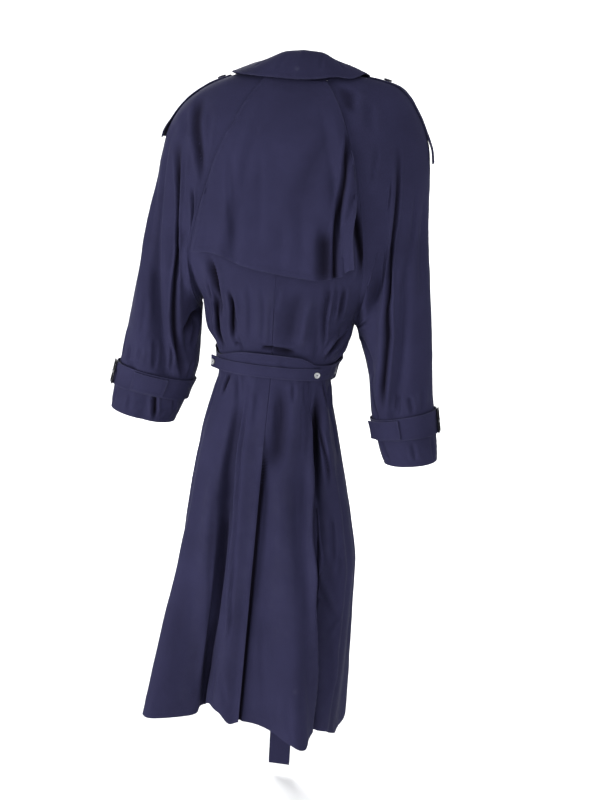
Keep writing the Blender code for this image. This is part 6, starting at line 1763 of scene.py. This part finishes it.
def make_waist():
    """The belt, its hanging end, its loops and the short strap over it at the back."""
    middle = np.array([0, 0, WAIST])
    a, share = np.meshgrid(np.linspace(-math.pi, math.pi, 261)[:-1],
                           strap_shares(13, SPREAD, BELT_WIDTH))
    slack = smooth(np.degrees(a), BELT_SLACK["at"], BELT_SLACK["down"])
    grid = belt_point(a, share - slack / BELT_HALF * ease((share + 0.3) / 1.3))
    normal = body_lifted_base(a, WAIST + 0 * a, 0 * a + 1.0) - body_base(a, WAIST + 0 * a)
    grid += relief(BELT_CREASES, a, share, 0.11, BELT_HALF)[0][..., None] * normal
    belt = strap("belt", grid, middle, 21, rows_sewn=BELT_ROWS, ring=True)
    z, share = np.meshgrid(dense([TAIL["height"][0], TAIL["height"][-1]], FINE),
                           strap_shares(11, SPREAD, BELT_WIDTH))
    x = smooth(z, TAIL["height"], TAIL["x"]) + BELT_HALF * share
    off = smooth(z, TAIL["height"], TAIL["off"])
    front = body_sizes(np.maximum(z, HEM))[3]
    y = -(front + off + DOUBLE + 0.004 * np.sin((z + 0.6) * 9.0) * ease((-0.62 - z) / 0.3))
    y += 0.0016 * share ** 2 * np.sin((z + 0.2) * 23.0) * ease((-0.64 - z) / 0.1)
    strap("belt_tail", np.stack([x, y, z], -1), np.array([0, 5.0, -0.9]), 23,
          rows_sewn=BELT_ROWS)
    a, share = np.meshgrid(np.radians(np.linspace(*STRAP_ENDS, 110)),
                           strap_shares(7, SPREAD, STRAP_WIDTH))
    level = (STRAP_LOW + share * STRAP_WIDTH / 2) / BELT_HALF
    strap("waist_strap", belt_point(a, level, strap_stand(a)), middle, 25, rows_sewn=(0.0032,))
    belt_top = BELT_OFF + DOUBLE + FRONT_STEP + REST + WALL
    for side in ("left", "right"):
        z, shift = np.meshgrid(WAIST + np.linspace(-LOOP_HALF, LOOP_HALF, 34),
                               0.006 * strap_shares(5, 0.0008, 0.012))
        over = np.exp(-(((z - WAIST + 0.004) / (0.66 * LOOP_HALF)) ** 10))
        rise = (belt_top - 0.0004) * over - 0.0025 * (1 - over)
        a = sign(side) * math.pi / 2 * 1.06 + shift / 0.09
        strap("belt_loop_" + side, body_lifted_base(a, z, rise + REST), middle, 27,
              rows_sewn=(0.0022,), thick=WALL, sewn_ends=False)
    return belt


def make_sleeve_trim(side):
    """A sleeve's epaulette, its cuff strap and the strap's free end."""
    share, along = np.meshgrid(strap_shares(11, SPREAD, 0.046),
                               edge_shares(48, near=SPREAD, wide=0.15))
    grid = epaulette_point(side, share, along).transpose(1, 0, 2)
    made = [strap("epaulette_" + side, grid, np.array([sign(side) * 0.1, 0, -0.4]), 31,
                  rows_sewn=(0.0050,))]
    across = strap_shares(9, SPREAD, 0.034)
    turn, share = np.meshgrid(np.linspace(-1, 1, 141), across)
    joined = cuff_strap_point(side, turn, share)
    top_x, top_z, low_x, low_z, _, _ = sleeve_rows(side, CUFF_STRAP[side][0])
    centre = np.array([sign(side) * (top_x + low_x) / 2, 0, (top_z + low_z) / 2])
    # the strap swells out through the opening of its buckle
    run = edge_distances(joined)[0]
    here = np.interp(BUCKLE_TURN[side], turn[0], run[len(across) // 2])
    swell = 0.0026 * np.exp(-((run - here) / 0.0085) ** 6) * (1 - share ** 6)
    made.append(strap("cuff_strap_" + side, joined[:, :-1], centre, 33, ring=True, more=swell))
    first, last, past = STRAP_FREE[side]
    along, share = np.meshgrid(np.linspace(0, 1, 30), across * 0.86)
    grid = cuff_strap_point(side, first + (last - first) * along, share, REST + DOUBLE)
    if past > 0:
        step = unit(grid[:, -1] - grid[:, -2])
        more = [grid[:, -1:] + past * k / 6 * step[:, None] for k in range(1, 7)]
        grid = np.concatenate([grid] + more, axis=1)
    made.append(strap("cuff_strap_end_" + side, grid, centre, 35))
    return made


# ---------------------------------------------------------------- buttons, buckles and pins
def edit(piece):
    bpy.ops.object.select_all(action="DESELECT")
    piece.select_set(True)
    bpy.context.view_layer.objects.active = piece
    bpy.ops.object.mode_set(mode="EDIT")


def pick_faces(piece, test):
    """Selects the faces whose middle and normal pass the test."""
    bpy.ops.mesh.select_mode(type="FACE")
    bpy.ops.mesh.select_all(action="DESELECT")
    bpy.ops.object.mode_set(mode="OBJECT")
    for face in piece.data.polygons:
        face.select = bool(test(face.center, face.normal))
    bpy.ops.object.mode_set(mode="EDIT")


def pick_edges(piece, test):
    """Selects the edges whose two ends pass the test."""
    bpy.ops.mesh.select_mode(type="EDGE")
    bpy.ops.mesh.select_all(action="DESELECT")
    bpy.ops.object.mode_set(mode="OBJECT")
    for edge in piece.data.edges:
        edge.select = bool(test(*(piece.data.vertices[v].co for v in edge.vertices)))
    bpy.ops.object.mode_set(mode="EDIT")


def finish_edit(piece):
    bpy.ops.object.mode_set(mode="OBJECT")
    bpy.ops.object.shade_smooth_by_angle(angle=math.radians(40))
    piece.select_set(False)


def bevelled(piece, width, segments=3, angle=35):
    bpy.context.view_layer.objects.active = piece
    modifier = piece.modifiers.new("soft edges", "BEVEL")
    modifier.width = width
    modifier.segments = segments
    modifier.limit_method = "ANGLE"
    modifier.angle_limit = math.radians(angle)
    bpy.ops.object.modifier_apply(modifier=modifier.name)


def dressed(piece, finish):
    piece.data.materials.clear()
    piece.data.materials.append(finish)
    return piece


def model_box(name, half_w, half_h, thick):
    """A box standing on the origin, ready to be edited."""
    bpy.ops.mesh.primitive_cube_add(size=1.0, location=(0, 0, thick / 2))
    box = bpy.context.object
    box.name = name
    box.scale = (2 * half_w, 2 * half_h, thick)
    bpy.ops.object.transform_apply(location=True, rotation=True, scale=True)
    edit(box)
    return box


def model_button(name, radius, thick, finish):
    """A four-hole button at the origin: dished face, raised rim, holes right through."""
    bpy.ops.mesh.primitive_cylinder_add(vertices=40, radius=0.86 * radius, depth=thick,
                                        location=(0, 0, thick / 2))
    button = bpy.context.object
    button.name = name
    bpy.ops.object.transform_apply(location=True, rotation=True, scale=True)
    edit(button)
    pick_faces(button, lambda centre, normal: normal.z > 0.9)
    bpy.ops.transform.resize(value=(1.12, 1.12, 1.0))
    bpy.ops.mesh.inset(thickness=0.14 * radius)
    bpy.ops.mesh.inset(thickness=0.12 * radius)
    bpy.ops.transform.translate(value=(0, 0, -0.30 * thick))
    bpy.ops.mesh.inset(thickness=0.20 * radius)
    bpy.ops.transform.translate(value=(0, 0, -0.06 * thick))
    finish_edit(button)
    bevelled(button, 0.10 * thick)
    for k in range(4):
        angle = math.radians(45 + 90 * k)
        x, y = 0.26 * radius * math.cos(angle), 0.26 * radius * math.sin(angle)
        bpy.ops.mesh.primitive_cylinder_add(vertices=12, radius=0.105 * radius, depth=3 * thick,
                                            location=(x, y, 0))
        drill = bpy.context.object
        bpy.context.view_layer.objects.active = button
        cut = button.modifiers.new("thread hole", "BOOLEAN")
        cut.operation = "DIFFERENCE"
        cut.object = drill
        bpy.ops.object.modifier_apply(modifier=cut.name)
        bpy.data.objects.remove(drill)
    bpy.ops.object.select_all(action="DESELECT")
    button.select_set(True)
    bpy.context.view_layer.objects.active = button
    bpy.ops.object.shade_smooth_by_angle(angle=math.radians(40))
    return dressed(button, finish)


def model_button_thread(name, radius, thick):
    """Two crossed bars of thread through a button's holes."""
    parts = []
    for k in range(2):
        bpy.ops.mesh.primitive_cylinder_add(vertices=8, radius=0.07 * radius,
                                            depth=0.50 * radius, location=(0, 0, 0.74 * thick))
        bar = bpy.context.object
        bar.rotation_euler = (math.radians(90), 0, math.radians(45 + 90 * k))
        bpy.ops.object.transform_apply(location=True, rotation=True, scale=True)
        edit(bar)
        bpy.ops.mesh.select_all(action="SELECT")
        bpy.ops.mesh.subdivide(number_cuts=2)
        finish_edit(bar)
        for v in bar.data.vertices:
            reach = math.hypot(v.co.x, v.co.y) / (0.25 * radius)
            v.co.z -= 0.35 * thick * reach ** 3
        parts.append(bar)
    bpy.ops.object.select_all(action="DESELECT")
    for bar in parts:
        bar.select_set(True)
    bpy.context.view_layer.objects.active = parts[0]
    bpy.ops.object.join()
    thread = bpy.context.object
    thread.name = name
    thread.data.materials.clear()
    thread.data.materials.append(THREAD)
    return thread


def set_down(piece, name, at, right, up, out):
    """A copy of a piece with its own mesh, put at a place of the coat."""
    copy = piece.copy()
    copy.data = piece.data.copy()
    copy.name = name
    bpy.context.scene.collection.objects.link(copy)
    matrix = Matrix([[right[i], up[i], out[i], at[i]] for i in range(3)] + [[0, 0, 0, 1]])
    copy.data.transform(matrix)
    copy.data.update()
    if matrix.determinant() < 0:
        copy.data.flip_normals()
    return copy


def make_buttons():
    """Every button of the coat, each with its crossed threads."""
    patterns = {kind: (model_button(kind, *size, finish), model_button_thread(kind, *size))
                for kind, size, finish in (("waist", LIGHT_BUTTON, LIGHT_SHELL),
                                           ("front", FRONT_BUTTON, DARK_HORN),
                                           ("epaulette", EPAULETTE_BUTTON, DARK_HORN))}

    def add(kind, node, surface, place, steps, towards, stand=0.0):
        at, right, up, out = axes_on(surface, *place, *steps)
        out = facing(out, np.array(towards))
        at = at + stand * out
        button, thread = patterns[kind]
        slot = "light_button" if kind == "waist" else "navy_button"
        placed(set_down(button, "made_" + node, at, right, up, out), slot, node)
        placed(set_down(thread, "thread_" + node, at, right, up, out), "gabardine")

    def over_strap(a, share):
        return belt_point(a, share, strap_stand(a) + 2 * SEAT)

    def on_left(x, z):
        return on_front("left", x, z, SEAT)

    for side, degrees in zip(("left", "right"), STRAP_BUTTONS):
        add("waist", "waist_button_" + side, over_strap,
            (math.radians(degrees), STRAP_LOW / BELT_HALF), (0.03, 0.2), (0, 1, 0))
    for row, (z, x) in enumerate(zip(FRONT_BUTTONS["height"], FRONT_BUTTONS["x"])):
        for side in ("left", "right"):
            add("front", "front_button_%s_%d" % (side, row + 1), on_left, (sign(side) * x, z),
                (0.01, 0.01), (0, -1, 0), FRONT_BUTTONS[side][row])
    for side in ("left", "right"):
        def tab(share, along):
            return epaulette_point(side, share, along, SEAT)
        add("epaulette", "epaulette_button_" + side, tab, (0.0, 0.10), (0.2, 0.05), (0, 0, 1))
    for button, thread in patterns.values():
        bpy.data.objects.remove(button)
        bpy.data.objects.remove(thread)


def model_frame(name, half_w, half_h, bar, thick):
    """A leather-covered buckle frame at the origin, rounded, with its opening right through."""
    covered = model_box(name, half_w, half_h, thick)
    pick_faces(covered, lambda centre, normal: abs(normal.z) > 0.9)
    bpy.ops.mesh.inset(thickness=bar)
    bpy.ops.mesh.bridge_edge_loops()
    pick_edges(covered, lambda first, second: abs(first.z - second.z) > 0.5 * thick)
    bpy.ops.mesh.bevel(offset=0.7 * bar, segments=5, affect="EDGES")
    finish_edit(covered)
    bevelled(covered, 0.42 * thick, 4, 50)
    return dressed(covered, LEATHER)


def model_pin(name, half_w, half_h, thick):
    """A buckle's pin: flat bar with a rounded point and a turned-over eye."""
    pin = model_box(name, half_w, half_h, thick)
    pick_faces(pin, lambda centre, normal: normal.x > 0.9)
    bpy.ops.transform.resize(value=(1.0, 0.55, 0.6))
    pick_faces(pin, lambda centre, normal: normal.x < -0.9)
    bpy.ops.transform.resize(value=(1.0, 1.35, 1.0))
    bpy.ops.mesh.select_all(action="SELECT")
    bpy.ops.mesh.subdivide(number_cuts=3)
    finish_edit(pin)
    bevelled(pin, 0.3 * thick, 3, 30)
    return dressed(pin, METAL)


def make_buckles():
    """The belt's and the cuff straps' buckles with their pins."""
    turn = math.pi - BUCKLE_AT / GIRTH
    places = [("belt_buckle", BELT_BUCKLE, belt_point(turn, -1.0), belt_point(turn, 1.0),
               belt_point(turn + 0.03, 0.0) - belt_point(turn - 0.03, 0.0))]
    for side, turn in BUCKLE_TURN.items():
        places.append(("cuff_buckle_" + side, CUFF_BUCKLE,
                       cuff_strap_point(side, turn, -1.0, SEAT),
                       cuff_strap_point(side, turn, 1.0, SEAT),
                       cuff_strap_point(side, turn + 0.05, 0.0)
                       - cuff_strap_point(side, turn - 0.05, 0.0)))
    for node, size, low, high, right in places:
        half_w, _, bar, thick = size
        at, right, up = (low + high) / 2, unit(right), unit(high - low)
        out = unit(facing(np.cross(right, up), at * (1, 1, 0)))
        pattern = model_frame("pattern_frame", *size)
        placed(set_down(pattern, "made_" + node, at, right, up, out), "covered_buckle", node)
        bpy.data.objects.remove(pattern)
        pattern = model_pin("pattern_pin", half_w - 0.2 * bar, 0.0016, 0.0018)
        placed(set_down(pattern, "made_%s_pin" % node, at + (thick + SEAM) * out, right, up, out),
               "pin", node + "_prong")
        bpy.data.objects.remove(pattern)


# ---------------------------------------------------------------- the whole coat
flap = make_flap()
collar_fall = make_collar()
lapels = [make_lapel("left"), make_lapel("right")]
belt = make_waist()
sleeve_trim = {side: make_sleeve_trim(side) for side in ("left", "right")}
over_body = [flap, collar_fall, belt]
over_front = [collar_fall, belt] + lapels
back_left = make_panel("left", "back", over_body)
make_panel("right", "back", over_body + [back_left])
front_left = make_panel("left", "front", over_front)
make_panel("right", "front", over_front + [front_left])
for side in ("left", "right"):
    for half in ("back", "front"):
        make_sleeve(side, half, [flap, collar_fall] + sleeve_trim[side])
make_buttons()
make_buckles()
for part in stitch_lines:
    make_stitches(part)


# ---------------------------------------------------------------- studio
FLOOR = -1.4545           # just below the end of the belt


def make_studio():
    """A floor of pale paper that curves up behind the coat."""
    bpy.ops.mesh.primitive_plane_add(size=1.0, location=(0, 0, FLOOR))
    floor = bpy.context.object
    floor.name = "studio_floor"
    floor.scale = (14, 14, 1)
    bpy.ops.object.transform_apply(location=True, rotation=True, scale=True)
    edit(floor)
    pick_edges(floor, lambda first, second: first.y < -6.9 and second.y < -6.9)
    bpy.ops.mesh.extrude_edges_move(TRANSFORM_OT_translate={"value": (0, 0, 7.0)})
    finish_edit(floor)
    bevelled(floor, 2.0, 12, 30)
    made, tree, shader, place = nodes_of("studio paper")
    tone = ramp(tree, noise(tree, place, 3.0, Detail=3.0), (0.3, 0.90), (0.7, 0.93))
    feed(tree, shader.inputs, {"Base Color": tone, "Roughness": 0.9})
    floor.data.materials.append(made)


def add_light(name, at, aim, size, power):
    data = bpy.data.lights.new(name, "AREA")
    data.shape = "RECTANGLE"
    data.size, data.size_y = size
    data.energy = power
    light = bpy.data.objects.new(name, data)
    bpy.context.scene.collection.objects.link(light)
    light.location = at
    light.rotation_euler = (Vector(aim) - Vector(at)).to_track_quat("-Z", "Y").to_euler()


make_studio()
# Lights: where they stand, what they face, their width and height, and their power.
for name, at, aim, size, power in (
        ("key", (2.6, 1.9, -1.10), (0, 0, -0.75), (1.3, 1.6), 138),
        ("fill", (-1.8, 3.4, 0.0), (0, 0, -0.7), (2.0, 2.2), 50),
        ("front", (1.6, -3.0, 0.9), (0, 0, -0.6), (1.6, 1.8), 150),
        ("paper", (0, -3.6, 2.4), (0, -7.0, -0.2), (5.0, 1.2), 170),
        ("top", (0.2, 0.4, 3.2), (0, 0, -0.6), (2.6, 2.6), 8)):
    add_light(name, at, aim, size, power)
scene = bpy.context.scene
scene.view_settings.view_transform = "Standard"
scene.world = scene.world or bpy.data.worlds.new("studio air")
scene.world.use_nodes = True
air = scene.world.node_tree.nodes["Background"]
air.inputs["Color"].default_value = (0.96, 0.97, 1.0, 1.0)
air.inputs["Strength"].default_value = 0.86

bpy.ops.object.select_all(action="DESELECT")
